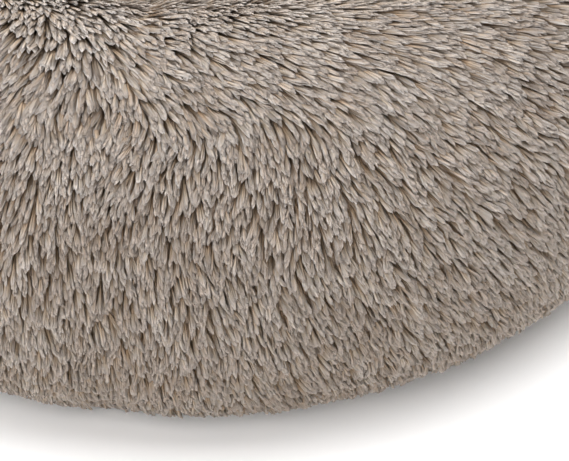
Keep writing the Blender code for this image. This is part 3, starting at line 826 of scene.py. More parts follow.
# The arithmetic of a strand, one step a line: result, operation, terms. Words are earlier results.
NUMBER, VECTOR = "ShaderNodeMath", "ShaderNodeVectorMath"
STEPS = (
    # which way it lies: the comb in the plane of the surface, turned by its lock and its drift
    ("out", VECTOR, "NORMALIZE", "out"),
    ("lift", VECTOR, "DOT_PRODUCT", "comb", "out"),
    ("lifted", VECTOR, "SCALE", "out", "lift"),
    ("level", VECTOR, "SUBTRACT", "comb", "lifted"),
    ("level", VECTOR, "NORMALIZE", "level"),
    ("across", VECTOR, "CROSS_PRODUCT", "out", "level"),
    ("stray", NUMBER, "POWER", "stray", STRAY_POWER),
    ("sign", NUMBER, "SIGN", "side_chance"),
    ("stray", NUMBER, "MULTIPLY", "stray", "sign"),
    ("stray", NUMBER, "MULTIPLY", "stray", "Scatter"),
    ("stray", NUMBER, "MULTIPLY", "stray", STRAY_REACH),
    ("drift", NUMBER, "SUBTRACT", "drift", 0.5),
    ("drift", NUMBER, "MULTIPLY", "drift", "Part Turn"),
    ("drift", NUMBER, "MULTIPLY", "drift", 2.0),
    ("turn", NUMBER, "ADD", "stray", "drift"),
    ("turn_cos", NUMBER, "COSINE", "turn"),
    ("turn_sin", NUMBER, "SINE", "turn"),
    ("ahead_part", VECTOR, "SCALE", "level", "turn_cos"),
    ("side_part", VECTOR, "SCALE", "across", "turn_sin"),
    ("onward", VECTOR, "ADD", "ahead_part", "side_part"),
    ("side", VECTOR, "CROSS_PRODUCT", "out", "onward"),
    # its slope above the surface falls evenly from root to tip, and where it tucks it turns under
    ("rise_drift", NUMBER, "SUBTRACT", "rise_drift", 0.5),
    ("lean", NUMBER, "MULTIPLY_ADD", "rise_drift", LEAN_BY_DRIFT, "lean"),
    ("tuft_rise", NUMBER, "SUBTRACT", "tuft_rise", 0.5),
    ("lean", NUMBER, "MULTIPLY_ADD", "tuft_rise", LEAN_BY_TUFT, "lean"),
    ("lean", NUMBER, "MULTIPLY_ADD", "tuck", LEAN_BY_TUCK, "lean"),
    ("lean", NUMBER, "MULTIPLY_ADD", "lie", LEAN_BY_LIE, "lean"),
    ("droop", NUMBER, "MULTIPLY_ADD", "tuck", DROOP_BY_TUCK, "droop"),
    ("bend", NUMBER, "SUBTRACT", "lean", "droop"),
    ("slope", NUMBER, "MULTIPLY", "bend", "along"),
    ("slope", NUMBER, "SUBTRACT", "lean", "slope"),
    ("off_middle", NUMBER, "MULTIPLY", "aside", "aside"),
    ("shorter", NUMBER, "MULTIPLY", "off_middle", LENGTH_BY_SIDE),
    ("share", NUMBER, "ADD", "share", "shorter"),
    ("length", NUMBER, "MULTIPLY", "Fibre Length", "reach"),
    ("length", NUMBER, "MULTIPLY", "length", "share"),
    ("tuck_short", NUMBER, "MULTIPLY_ADD", "tuck", LENGTH_BY_TUCK, 1.0),
    ("length", NUMBER, "MULTIPLY", "length", "tuck_short"),
    ("lie_long", NUMBER, "MULTIPLY_ADD", "lie", LENGTH_BY_LIE, 1.0),
    ("length", NUMBER, "MULTIPLY", "length", "lie_long"),
    ("per_bend", NUMBER, "DIVIDE", "length", "bend"),
    ("slope_cos", NUMBER, "COSINE", "slope"),
    ("slope_sin", NUMBER, "SINE", "slope"),
    ("lean_cos", NUMBER, "COSINE", "lean"),
    ("lean_sin", NUMBER, "SINE", "lean"),
    ("rise", NUMBER, "SUBTRACT", "slope_cos", "lean_cos"),
    ("rise", NUMBER, "MULTIPLY", "rise", "per_bend"),
    ("run", NUMBER, "SUBTRACT", "lean_sin", "slope_sin"),
    ("run", NUMBER, "MULTIPLY", "run", "per_bend"),
    ("fall", NUMBER, "MULTIPLY", "run", "run"),
    ("fall", NUMBER, "DIVIDE", "fall", "Surface Radius"),
    ("height", NUMBER, "MULTIPLY_ADD", "fall", -0.5, "rise"),
    # its place in the lock: strands draw together a little and sway sideways
    ("close", NUMBER, "MULTIPLY_ADD", "along", LOCK_CLOSING, 1.0),
    ("radius", NUMBER, "MULTIPLY", "Lock Radius", "close"),
    ("above", NUMBER, "MULTIPLY", "above", LOCK_FLATNESS),
    ("height", NUMBER, "MULTIPLY_ADD", "above", "radius", "height"),
    ("run", NUMBER, "MULTIPLY_ADD", "ahead", "radius", "run"),
    ("along_squared", NUMBER, "MULTIPLY", "along", "along"),
    ("curl", NUMBER, "MULTIPLY", "curl", LOCK_CURL),
    ("curl", NUMBER, "MULTIPLY_ADD", "bow", STRAND_BOW, "curl"),
    ("curl", NUMBER, "MULTIPLY", "curl", "along_squared"),
    ("over", NUMBER, "MULTIPLY_ADD", "aside", "radius", "curl"),
    ("to_tuft", VECTOR, "SUBTRACT", "tuft_middle", "root"),
    ("to_tuft", VECTOR, "DOT_PRODUCT", "to_tuft", "side"),
    ("to_tuft", NUMBER, "MULTIPLY", "to_tuft", "Tuft Pull"),
    ("lie_pull", NUMBER, "MULTIPLY_ADD", "lie", PULL_BY_LIE, 1.0),
    ("to_tuft", NUMBER, "MULTIPLY", "to_tuft", "lie_pull"),
    ("over", NUMBER, "MULTIPLY_ADD", "to_tuft", "along_squared", "over"),
    ("forward", VECTOR, "SCALE", "onward", "run"),
    ("upward", VECTOR, "SCALE", "out", "height"),
    ("sideways", VECTOR, "SCALE", "side", "over"),
    ("centre", VECTOR, "ADD", "root", "forward"),
    ("centre", VECTOR, "ADD", "centre", "upward"),
    ("centre", VECTOR, "ADD", "centre", "sideways"),
    # its section: full near the tip, a little thinner at the root, and flatter than it is wide
    ("wider", NUMBER, "SUBTRACT", "Fine Width", "Coarse Width"),
    ("width", NUMBER, "MULTIPLY_ADD", "fine", "wider", "Coarse Width"),
    ("swell", NUMBER, "MULTIPLY", "along", SWELL_TURN),
    ("swell", NUMBER, "SINE", "swell"),
    ("swell", NUMBER, "MULTIPLY_ADD", "swell", SWELL, ROOT_WIDTH),
    ("width", NUMBER, "MULTIPLY", "width", "swell"),
    ("thick", NUMBER, "MULTIPLY", "width", STRAND_FLATNESS),
    ("width", NUMBER, "MULTIPLY", "width", "own_width"),
    ("lie_wide", NUMBER, "MULTIPLY_ADD", "lie", WIDTH_BY_LIE, 1.0),
    ("width", NUMBER, "MULTIPLY", "width", "lie_wide"),
    ("up_part", VECTOR, "SCALE", "out", "slope_cos"),
    ("down_part", VECTOR, "SCALE", "onward", "slope_sin"),
    ("face", VECTOR, "SUBTRACT", "up_part", "down_part"),
    ("wide", NUMBER, "MULTIPLY", "ring_side", "width"),
    ("deep", NUMBER, "MULTIPLY", "ring_up", "thick"),
    ("wide_part", VECTOR, "SCALE", "side", "wide"),
    ("deep_part", VECTOR, "SCALE", "face", "deep"),
    ("shaped", VECTOR, "ADD", "centre", "wide_part"),
    ("shaped", VECTOR, "ADD", "shaped", "deep_part"),
    # its cell of the map: the column is its tone, the row is free
    ("tone", NUMBER, "MULTIPLY_ADD", "lock_tone", TONE_BY_LOCK, "shade"),
    ("tone", NUMBER, "MULTIPLY_ADD", "own_tone", TONE_BY_STRAND, "tone"),
    ("tone", NUMBER, "MULTIPLY_ADD", "tuft_tone", TONE_BY_TUFT, "tone"),
    ("tone", NUMBER, "MULTIPLY_ADD", "rise_drift", TONE_BY_DRIFT, "tone"),
    ("tone", NUMBER, "MAXIMUM", "tone", 0.0),
    ("tone", NUMBER, "MINIMUM", "tone", 0.99),
    ("column", NUMBER, "MULTIPLY", "tone", CELLS),
    ("column", NUMBER, "FLOOR", "column"),
    ("map_x", NUMBER, "MULTIPLY_ADD", "ring_side", CELL_HALF, 0.5),
    ("map_x", NUMBER, "ADD", "map_x", "column"),
    ("map_x", NUMBER, "DIVIDE", "map_x", CELLS),
    ("row", NUMBER, "FLOOR", "cell_row"),
    ("map_y", NUMBER, "MULTIPLY_ADD", "along", CELL_SPAN, CELL_START),
    ("map_y", NUMBER, "ADD", "map_y", "row"),
    ("map_y", NUMBER, "DIVIDE", "map_y", CELLS),
)
for result, kind, operation, *terms in STEPS:
    places = (0, "Scale") if operation == "SCALE" else (0, 1, 2)
    inputs = {p: known[t] if isinstance(t, str) else t for p, t in zip(places, terms)}
    made = add_node(long_pile, kind, inputs, operation=operation)
    known[result] = made.outputs[1 if operation == "DOT_PRODUCT" else 0]

# No strand goes into the floor: what would is laid along it
shaped_place = add_node(long_pile, "ShaderNodeSeparateXYZ", {0: known["shaped"]}).outputs
floor_play = add_node(
    long_pile, "ShaderNodeMath", {0: known["ring_up"], 1: FLOOR_PLY, 2: FLOOR_GAP}, operation="MULTIPLY_ADD"
).outputs[0]
above_floor = add_node(
    long_pile, "ShaderNodeMath", {0: shaped_place[2], 1: floor_play}, operation="MAXIMUM"
).outputs[0]
strand_place = add_node(
    long_pile, "ShaderNodeCombineXYZ", {0: shaped_place[0], 1: shaped_place[1], 2: above_floor}
).outputs[0]
real = add_node(
    long_pile, "GeometryNodeSetPosition", {"Geometry": real, "Position": strand_place}
).outputs[0]
map_place = add_node(
    long_pile, "ShaderNodeCombineXYZ", {0: known["map_x"], 1: known["map_y"]}
).outputs[0]
real = add_node(
    long_pile,
    "GeometryNodeStoreNamedAttribute",
    {"Geometry": real, "Name": "OFBake", "Value": map_place},
    data_type="FLOAT2",
    domain="CORNER",
).outputs[0]
end_tree(long_pile, real, given)


def grow(name, carrier, tree, **inputs):
    """Runs a tree on a piece and keeps the result as one plain mesh piece that rides on the bed."""
    kept = ("OFBake", "sharp_face", "material_index")
    modifier = carrier.modifiers.new(name, "NODES")
    modifier.node_group = tree
    wanted = {key.replace("_", " ").title(): value for key, value in inputs.items()}
    for socket in tree.interface.items_tree:
        if socket.in_out == "INPUT" and socket.name in wanted:
            modifier[socket.identifier] = wanted[socket.name]
    solid = carrier.evaluated_get(bpy.context.evaluated_depsgraph_get())
    mesh = bpy.data.meshes.new_from_object(solid)
    mesh.name = name
    for attribute in [a.name for a in mesh.attributes]:
        found = mesh.attributes.get(attribute)
        if found and not found.is_required and attribute not in kept:
            mesh.attributes.remove(found)
    bpy.data.objects.remove(carrier, do_unlink=True)
    made = bpy.data.objects.new(name, mesh)
    scene.collection.objects.link(made)
    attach(made, "bed")
    return made


def field(mesh, name, values, kind="FLOAT"):
    """Writes one value for each vertex of a mesh, for a tree to read."""
    attribute = mesh.attributes.new(name, kind, "POINT")
    key = "vector" if kind == "FLOAT_VECTOR" else "value"
    attribute.data.foreach_set(key, np.ascontiguousarray(values, dtype=np.float32).ravel())


# The pile is fine in the picture and a little round it, and fades to coarse between these shares of
# the picture from its middle, and where the surface turns away from the camera
ACROSS_FADE, UP_FADE, FACING_FADE = (-0.62, -0.53), (-0.66, -0.53), (-0.45, -0.15)


def camera_share(points, out):
    """How far points are in the camera's picture and turned to it, from 0 to 1."""
    from_camera = points - np.array(camera.location)
    scale = CAMERA_LENS / SENSOR_WIDTH / -(from_camera @ np.array(camera_back))
    across = from_camera[..., 0] * scale
    up = from_camera @ np.array(camera_up) * scale * PICTURE[0] / PICTURE[1]
    facing = -np.sum(out * from_camera, axis=-1) / np.linalg.norm(from_camera, axis=-1)
    inside = smooth_step(-np.abs(across), *ACROSS_FADE) * smooth_step(-np.abs(up), *UP_FADE)
    return inside * smooth_step(facing, *FACING_FADE)


# The fields of the pile, over angles of the section between which each comes in, or goes out again
PATCH_STEP = 2.0  # in degrees round the bed
COMB_WANDER, COMB_WANDER_SIZE = 8, 0.05  # in degrees, and over this distance
SHADE, SHADE_WANDER, SHADE_SIZE = 0.10, 0.09, 0.04
TUCK_FLOOR, TUCK_NEST = (0, 45), (176, 212)
LIE_IN, LIE_OUT = (40, 70), (140, 175)
PARTING_TURN, PARTING_REACH, PARTING_LIE = -14, 9, 0.7
PARTING_IN, PARTING_OUT = (52, 76), (118, 145)


def rim_patch(name, first, last):
    """A patch of the rim's backing between two turns, with the fields that the pile reads."""
    turns = np.linspace(first, last, int(round((last - first) / PATCH_STEP)) + 1)
    place = turns * AROUND_STEPS / 360
    low = np.floor(place).astype(int)
    share = (place - low)[:, None, None]
    grid = backing[low % AROUND_STEPS] * (1 - share) + backing[(low + 1) % AROUND_STEPS] * share
    patch = mesh_piece(name, grid.reshape(-1, 3), grid_faces(*grid.shape[:2]))
    turn = ((turns + 180) % 360 - 180)[:, None] + 0 * section_angles
    angle = section_angles + 0 * turn
    down = -np.gradient(grid, axis=1)
    down /= np.linalg.norm(down, axis=-1, keepdims=True)
    round_bed = np.stack([np.cos(np.radians(turn)), np.sin(np.radians(turn)), 0 * turn], -1)
    wandering = COMB_WANDER * wander(grid, COMB_WANDER_SIZE, 3.0)
    sweep = np.radians(comb_sweep(turn, angle) + wandering)[..., None]
    field(patch.data, "comb", down * np.cos(sweep) + round_bed * np.sin(sweep), "FLOAT_VECTOR")
    field(patch.data, "fine", camera_share(grid, np.cross(down, round_bed)))
    tuck = smooth_step(-angle, *TUCK_FLOOR) + smooth_step(angle, *TUCK_NEST)
    field(patch.data, "tuck", tuck)
    lie = smooth_step(angle, *LIE_IN) * (1 - smooth_step(angle, *LIE_OUT))
    parting = np.exp(-(((turn - PARTING_TURN) / PARTING_REACH) ** 2))
    parting = parting * smooth_step(angle, *PARTING_IN) * (1 - smooth_step(angle, *PARTING_OUT))
    field(patch.data, "lie", lie + PARTING_LIE * parting)
    field(patch.data, "shade", SHADE + SHADE_WANDER * wander(grid, SHADE_SIZE, 7.0))
    return patch


for group, edges, spacing, radius, width in (
    ("near", NEAR_TURNS, LOCK_SPACING, LOCK_RADIUS, COARSE_WIDTH),
    ("far", FAR_TURNS, FAR_LOCK_SPACING, FAR_LOCK_RADIUS, FAR_WIDTH),
):
    for number, (first, last) in enumerate(zip(edges, edges[1:]), start=1):
        pile = grow(
            f"rim_pile_{group}_{number}",
            rim_patch("patch", first, last),
            long_pile,
            lock_spacing=spacing,
            lock_radius=radius,
            coarse_width=width,
            seed=100 * number + round(spacing * 1e4),
            material=pile_acrylic,
        )


# Cushion cover: a disc of the same pile fabric, sewn to the rim's fabric along the nest seam. The
# pad under it crowns it in the middle, and its edge is drawn down into the crease round the rim.
CUSHION_TURNS = 120
CUSHION_CAP = 0.002
NEST_SEAM_REACH = 0.0105  # the backing runs on from the pad's side to the seam, through this gap
NEST_SEAM_RISE = 0.001
CUSHION_TUCK, CUSHION_TUCK_RADII = 0.8, (0.060, 0.085)
SWIRL, WIDE_SWIRL, WIDE_SIZE, CLOSE_SWIRL, CLOSE_SIZE = -1.1, 1.3, 0.07, 0.6, 0.03  # its pile's way
cushion_depth = GROUND_DEPTH + BACKING_SLACK
cushion_edge = cushion_side(cushion_depth)
seam_radius, seam_height = cushion_edge[-1]
cushion_points = [
    (0, CUSHION_TOP - cushion_depth),
    *cushion_crown(cushion_depth, CROWN_STEPS),
    *cushion_edge,
    (seam_radius + NEST_SEAM_REACH, seam_height + NEST_SEAM_RISE),
]
cushion_cloth = turned_piece(
    "cushion_cover_backing", cushion_points, CUSHION_TURNS, backing_knit, PAD_DENTS
)
rings = len(cushion_points) - 1
stuff(
    cushion_cloth,
    [r * rings + c for r in range(CUSHION_TURNS) for c in (rings - 2, rings - 1)],
    CUSHION_CAP,
)
cushion_patch = mesh_piece(
    "patch",
    [v.co for v in cushion_cloth.data.vertices],
    [tuple(p.vertices) for p in cushion_cloth.data.polygons],
)
patch_points = np.array([v.co for v in cushion_patch.data.vertices])
swirl = SWIRL + WIDE_SWIRL * wander(patch_points, WIDE_SIZE, 2.0)
swirl = swirl + CLOSE_SWIRL * wander(patch_points, CLOSE_SIZE, 9.0)
cushion_comb = np.stack([np.cos(swirl), np.sin(swirl), 0 * swirl], -1)
cushion_shade = SHADE + SHADE_WANDER * wander(patch_points, SHADE_SIZE, 7.0)
from_axis = np.linalg.norm(patch_points[:, :2], axis=-1)
field(cushion_patch.data, "comb", cushion_comb, "FLOAT_VECTOR")
field(cushion_patch.data, "fine", 0 * from_axis)
field(cushion_patch.data, "tuck", CUSHION_TUCK * smooth_step(from_axis, *CUSHION_TUCK_RADII))
field(cushion_patch.data, "shade", cushion_shade)
cushion_pile = grow(
    "cushion_pile",
    cushion_patch,
    long_pile,
    coarse_strands=FINE_STRANDS,
    coarse_width=FINE_WIDTH,
    surface_radius=1.0,
    seed=77,
    material=pile_acrylic,
)
thicken(cushion_cloth, GROUND_THICK)
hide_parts("cushion_cover")
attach(cushion_cloth, "bed")


# Base panels: two halves of coated woven polyester that close the cover underneath. They lie flat
# under the rim and rise inside it to make room for the zip, whose edges they are hemmed along.
BASE_CLOTH_THICK = 0.0009
DOT_HEIGHT = 0.0005
base_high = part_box("base_panel_front")[1]
BASE_RADIUS, RECESS_TOP = base_high.x, base_high.z
RECESS_RADIUS, FLAT_RADIUS = 0.1243, 0.1415  # where the raised middle ends, and the flat starts
ROUND_RADIUS = 0.1185  # from here out, the panels' rows of points are round
ZIP_OPENING_HALF, ZIP_OPENING_END = 0.0065, 0.1143
HEM_THICK, HEM_WIDTH, HEM_GAP, HEM_STEPS = 0.0004, 0.006, 0.00005, 60
BASE_STEPS = 96
BASE_WAVES, BASE_WAVE_HEIGHT = 46, 0.0004  # the slope is gathered a little round the recess

# Woven polyester with a soft coating: dark taupe-grey, with a plain weave. The threads are 0.4 mm
# apart on the real cloth and are drawn twice as far apart, so that they show.
base_weave, weave_tree, weave_shader = new_material(
    "coated_woven_polyester", {"Roughness": 0.72, "Specular IOR Level": 0.35}
)
weave_place = add_node(weave_tree, "ShaderNodeTexCoord").outputs["Object"]
weave_heights = []
for direction in ("X", "Y"):
    weave_heights.append(
        add_node(
            weave_tree,
            "ShaderNodeTexWave",
            {"Vector": weave_place, "Scale": 200.0, "Distortion": 0.6, "Detail": 1.0},
            bands_direction=direction,
        ).outputs["Fac"]
    )
weave_over = add_node(
    weave_tree, "ShaderNodeMath", {0: weave_heights[0], 1: weave_heights[1]}, operation="MULTIPLY"
).outputs[0]
weave_wear = add_node(
    weave_tree, "ShaderNodeTexNoise", {"Vector": weave_place, "Scale": 45.0, "Detail": 4.0}
).outputs["Fac"]
weave_mixed = add_node(
    weave_tree, "ShaderNodeMath", {0: weave_wear, 1: 0.45, 2: weave_over}, operation="MULTIPLY_ADD"
).outputs[0]
weave_tones = ((0.0, "#2B2725"), (1.0, "#4B4541"))
patterned(weave_tree, weave_shader, weave_mixed, weave_tones, weave_over, (0.5, 0.0003))


def base_height(x, y):
    """The height of the base cloth's underside: flat, up the slope, and across the recess."""
    radius = np.hypot(x, y)
    top = RECESS_TOP - BASE_CLOTH_THICK
    rise = 1 - smooth_step(radius, RECESS_RADIUS - 0.004, FLAT_RADIUS + 0.002)
    wave = BASE_WAVE_HEIGHT * np.sin(BASE_WAVES * np.arctan2(y, x)) * 4 * rise * (1 - rise)
    return DOT_HEIGHT + (top - DOT_HEIGHT) * rise + wave


base_angles = np.linspace(4.5, 175.5, BASE_STEPS - 7)
base_angles = [[0, 1.2, 2.4, 3.25], base_angles, [176.75, 177.6, 178.8, 180]]
base_angles = np.radians(np.concatenate(base_angles))
inner = np.minimum(
    ZIP_OPENING_HALF / np.maximum(np.sin(base_angles), 1e-9),
    ZIP_OPENING_END / np.maximum(np.abs(np.cos(base_angles)), 1e-9),
)
inner_shares = np.linspace(0, 1, 8)[:-1]
inner_radii = inner[:, None] + (ROUND_RADIUS - inner)[:, None] * inner_shares
slope_radii = np.linspace(ROUND_RADIUS, FLAT_RADIUS + 0.004, 12)
round_radii = np.append(slope_radii, np.linspace(FLAT_RADIUS + 0.010, BASE_RADIUS, 6))
round_radii = np.broadcast_to(round_radii, (len(inner), len(round_radii)))
radii = np.concatenate([inner_radii, round_radii], axis=1)
for name, side in (("base_panel_front", -1), ("base_panel_rear", 1)):
    x = radii * np.cos(base_angles)[:, None]
    y = side * (radii * np.sin(base_angles)[:, None] + PLAY / 2)
    under = np.stack([x, y, base_height(x, y)], -1)
    faces = grid_faces(*under.shape[:2])
    if side < 0:
        faces = turned_over(faces)
    panel = mesh_piece(name + "_cloth", under.reshape(-1, 3), faces, base_weave)
    thicken(panel, BASE_CLOTH_THICK)
    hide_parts(name)
    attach(panel, "bed")
    hem_x = np.linspace(-ZIP_OPENING_END, ZIP_OPENING_END, HEM_STEPS)
    hem_y = side * (ZIP_OPENING_HALF + HEM_WIDTH * np.array([0, 0.5, 1]))
    hem_x, hem_y = np.meshgrid(hem_x, hem_y, indexing="ij")
    hem = np.stack([hem_x, hem_y, base_height(hem_x, hem_y) - HEM_GAP], -1)
    hem_faces = grid_faces(*hem.shape[:2])
    if side > 0:
        hem_faces = turned_over(hem_faces)
    fold = mesh_piece(name + "_hem", hem.reshape(-1, 3), hem_faces, base_weave)
    thicken(fold, HEM_THICK, offset=1.0)
    rounded = fold.modifiers.new("rounded", "BEVEL")
    rounded.width = HEM_THICK * 0.4
    rounded.segments = 2
    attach(fold, "bed")


# Non-slip dots: drops of soft vinyl printed on the base cloth in offset rows, 8 mm apart. They keep
# the bed from sliding on a smooth floor, and the bed rests on them.
DOT_PITCH, DOT_RADIUS = 0.008, 0.0011
ROW_SHARE = 0.866  # of the pitch, from one row to the next
DOT_EDGE, DOT_END, DOT_MIDDLE = 0.006, 0.004, 0.002  # clear of the edge, the opening and the middle
SLOPE_STEP = 5e-4
dot_vinyl, vinyl_tree, vinyl_shader = new_material(
    "soft_printed_vinyl", {"Roughness": 0.45, "Specular IOR Level": 0.5}
)
vinyl_place = add_node(vinyl_tree, "ShaderNodeTexCoord").outputs["Object"]
vinyl_dust = add_node(
    vinyl_tree, "ShaderNodeTexNoise", {"Vector": vinyl_place, "Scale": 60.0, "Detail": 3.0}
).outputs["Fac"]
vinyl_tones = ((0.0, "#5A534D"), (1.0, "#6E665F"))
patterned(vinyl_tree, vinyl_shader, vinyl_dust, vinyl_tones)

dot_sizes = {"Dot Radius": DOT_RADIUS, "Dot Height": DOT_HEIGHT}
dot_tree, given = new_tree("printed_dots", dot_sizes)
dome = add_node(
    dot_tree, "GeometryNodeMeshUVSphere", {"Segments": 6, "Rings": 4, "Radius": 1.0}
).outputs["Mesh"]
dome_size = add_node(
    dot_tree,
    "ShaderNodeCombineXYZ",
    {0: given["Dot Radius"], 1: given["Dot Radius"], 2: given["Dot Height"]},
).outputs[0]
facing = add_node(
    dot_tree, "GeometryNodeInputNamedAttribute", {"Name": "facing"}, data_type="FLOAT_VECTOR"
).outputs["Attribute"]
turned = add_node(
    dot_tree, "FunctionNodeAlignRotationToVector", {"Vector": facing}, axis="Z"
).outputs[0]
dots = add_node(
    dot_tree,
    "GeometryNodeInstanceOnPoints",
    {"Points": given["Geometry"], "Instance": dome, "Rotation": turned, "Scale": dome_size},
).outputs[0]
end_tree(dot_tree, dots, given)

dot_places = []
dot_rows = int(BASE_RADIUS / (DOT_PITCH * ROW_SHARE)) + 1
for row in range(-dot_rows, dot_rows + 1):
    for column in range(-dot_rows, dot_rows + 1):
        x = (column + 0.5 * (row % 2)) * DOT_PITCH
        y = row * DOT_PITCH * ROW_SHARE
        beside_hem = abs(y) > ZIP_OPENING_HALF + HEM_WIDTH + DOT_RADIUS * 1.5
        past_end = abs(x) > ZIP_OPENING_END + DOT_END and abs(y) > DOT_MIDDLE
        if math.hypot(x, y) < BASE_RADIUS - DOT_EDGE and (beside_hem or past_end):
            dot_places.append((x, y))
dot_x, dot_y = np.array(dot_places).T
slopes = [
    base_height(dot_x + SLOPE_STEP, dot_y) - base_height(dot_x - SLOPE_STEP, dot_y),
    base_height(dot_x, dot_y + SLOPE_STEP) - base_height(dot_x, dot_y - SLOPE_STEP),
]
slopes = np.array(slopes) / (2 * SLOPE_STEP)
dot_mesh = mesh_piece("patch", np.stack([dot_x, dot_y, base_height(dot_x, dot_y)], -1), [])
field(dot_mesh.data, "facing", np.stack([*slopes, -np.ones(len(dot_x))], -1), "FLOAT_VECTOR")
base_dots = grow("base_non_slip_dots", dot_mesh, dot_tree, material=dot_vinyl)


# Stitching: polyester thread in lockstitch. One row holds each hem and its zip tape, and one runs
# round the base where it is sewn to the pile fabric.
STITCH_PITCH, STITCH_LENGTH, THREAD_RADIUS = 0.0032, 0.0026, 0.00022
THREAD_OUT = 0.4  # of its radius, from the cloth to the thread's middle
EDGE_SEAM_INSET, EDGE_SEAM_STEP = 0.004, 3
HEM_SEAM_INSET, HEM_SEAM_POINTS = 0.002, 80
thread_polyester, thread_tree, thread_shader = new_material(
    "twisted_polyester_thread", {"Roughness": 0.55}
)
thread_place = add_node(thread_tree, "ShaderNodeTexCoord").outputs["Object"]
thread_twist = add_node(
    thread_tree,
    "ShaderNodeTexWave",
    {"Vector": thread_place, "Scale": 900.0, "Distortion": 2.0},
    bands_direction="DIAGONAL",
).outputs["Fac"]
thread_tones = ((0.0, "#4A423B"), (1.0, "#75695E"))
patterned(thread_tree, thread_shader, thread_twist, thread_tones)

stitch_sizes = {
    "Stitch Pitch": STITCH_PITCH,
    "Stitch Length": STITCH_LENGTH,
    "Thread Radius": THREAD_RADIUS,
}
stitch_tree, given = new_tree("stitching", stitch_sizes)
seam_line = add_node(stitch_tree, "GeometryNodeMeshToCurve", {"Mesh": given["Geometry"]}).outputs[0]
holes = add_node(
    stitch_tree,
    "GeometryNodeCurveToPoints",
    {"Curve": seam_line, "Length": given["Stitch Pitch"]},
    mode="LENGTH",
).outputs
capsule = add_node(
    stitch_tree, "GeometryNodeMeshUVSphere", {"Segments": 6, "Rings": 5, "Radius": 1.0}
).outputs["Mesh"]
half_length = add_node(
    stitch_tree, "ShaderNodeMath", {0: given["Stitch Length"], 1: 0.5}, operation="MULTIPLY"
).outputs[0]
stitch_size = add_node(
    stitch_tree,
    "ShaderNodeCombineXYZ",
    {0: given["Thread Radius"], 1: given["Thread Radius"], 2: half_length},
).outputs[0]
lain = add_node(
    stitch_tree, "FunctionNodeAlignRotationToVector", {"Vector": holes["Tangent"]}, axis="Z"
).outputs[0]
stitches = add_node(
    stitch_tree,
    "GeometryNodeInstanceOnPoints",
    {"Points": holes["Points"], "Instance": capsule, "Rotation": lain, "Scale": stitch_size},
).outputs[0]
end_tree(stitch_tree, stitches, given)

seam_turn = np.radians(np.arange(0, 360, EDGE_SEAM_STEP))
edge = BASE_RADIUS - EDGE_SEAM_INSET
seam_lines = [(edge * np.cos(seam_turn), edge * np.sin(seam_turn), THREAD_RADIUS * THREAD_OUT)]
hem_seam_end = ZIP_OPENING_END - HEM_SEAM_INSET
for side in (-1, 1):
    x = np.linspace(-hem_seam_end, hem_seam_end, HEM_SEAM_POINTS)
    y = np.full(HEM_SEAM_POINTS, side * (ZIP_OPENING_HALF + HEM_WIDTH * 0.5))
    seam_lines.append((x, y, HEM_THICK + THREAD_RADIUS * THREAD_OUT))
seam_points, seam_edges = [], []
for x, y, below in seam_lines:
    start = len(seam_points)
    seam_points += np.stack([x, y, base_height(x, y) - below], -1).tolist()
    seam_edges += [(start + i, start + i + 1) for i in range(len(x) - 1)]
seam_edges.append((len(seam_turn) - 1, 0))
seam_mesh = bpy.data.meshes.new("seams")
seam_mesh.from_pydata(seam_points, seam_edges, [])
seams = bpy.data.objects.new("seams", seam_mesh)
scene.collection.objects.link(seams)
stitching = grow("base_stitching", seams, stitch_tree, material=thread_polyester)


# Zip tapes: woven polyester tape, sewn to the inner side of the panels along the opening. A cord is
# woven into each inner edge, and the coil is sewn along it.
tape_low, tape_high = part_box("zip_tape_rear")
TAPE_SWELL, TAPE_WAVES = 0.0001, 310  # it lies in low waves, in radians to a metre
TAPE_STEPS, TAPE_ROWS = 160, 9

# Woven tape: taupe-brown polyester in a herringbone, ribbed along its length. The ribs are 0.5 mm
# wide on the real tape and are drawn 0.8 mm wide, so that they show.
tape_weave, tape_tree, tape_shader = new_material("woven_zip_tape", {"Roughness": 0.8})
tape_place = add_node(tape_tree, "ShaderNodeTexCoord").outputs["Object"]
tape_ribs = add_node(
    tape_tree,
    "ShaderNodeTexWave",
    {"Vector": tape_place, "Scale": 200.0, "Distortion": 0.4},
    bands_direction="Y",
).outputs["Fac"]
tape_twill = add_node(
    tape_tree,
    "ShaderNodeTexWave",
    {"Vector": tape_place, "Scale": 420.0, "Distortion": 0.4},
    bands_direction="DIAGONAL",
).outputs["Fac"]
tape_height = add_node(
    tape_tree, "ShaderNodeMath", {0: tape_twill, 1: 0.5, 2: tape_ribs}, operation="MULTIPLY_ADD"
).outputs[0]
tape_tones = ((0.0, "#54493F"), (1.0, "#7E7063"))
patterned(tape_tree, tape_shader, tape_height, tape_tones, depth=(0.6, 0.0002))

for name, side in (("zip_tape_front", -1), ("zip_tape_rear", 1)):
    tape_x = np.linspace(tape_low.x, tape_high.x, TAPE_STEPS)
    tape_y = side * np.linspace(tape_low.y, tape_high.y, TAPE_ROWS)
    tape_z = tape_low.z + TAPE_SWELL * 0.5 * (1 + np.sin(tape_x * TAPE_WAVES))
    flat = np.zeros((TAPE_STEPS, TAPE_ROWS))
    grid = np.stack([tape_x[:, None] + flat, tape_y + flat, tape_z[:, None] + flat], -1)
    faces = grid_faces(TAPE_STEPS, TAPE_ROWS)
    if side > 0:
        faces = turned_over(faces)
    tape = mesh_piece(name + "_weave", grid.reshape(-1, 3), faces, tape_weave)
    thicken(tape, tape_high.z - tape_low.z - TAPE_SWELL)
    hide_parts(name)
    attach(tape, "bed")


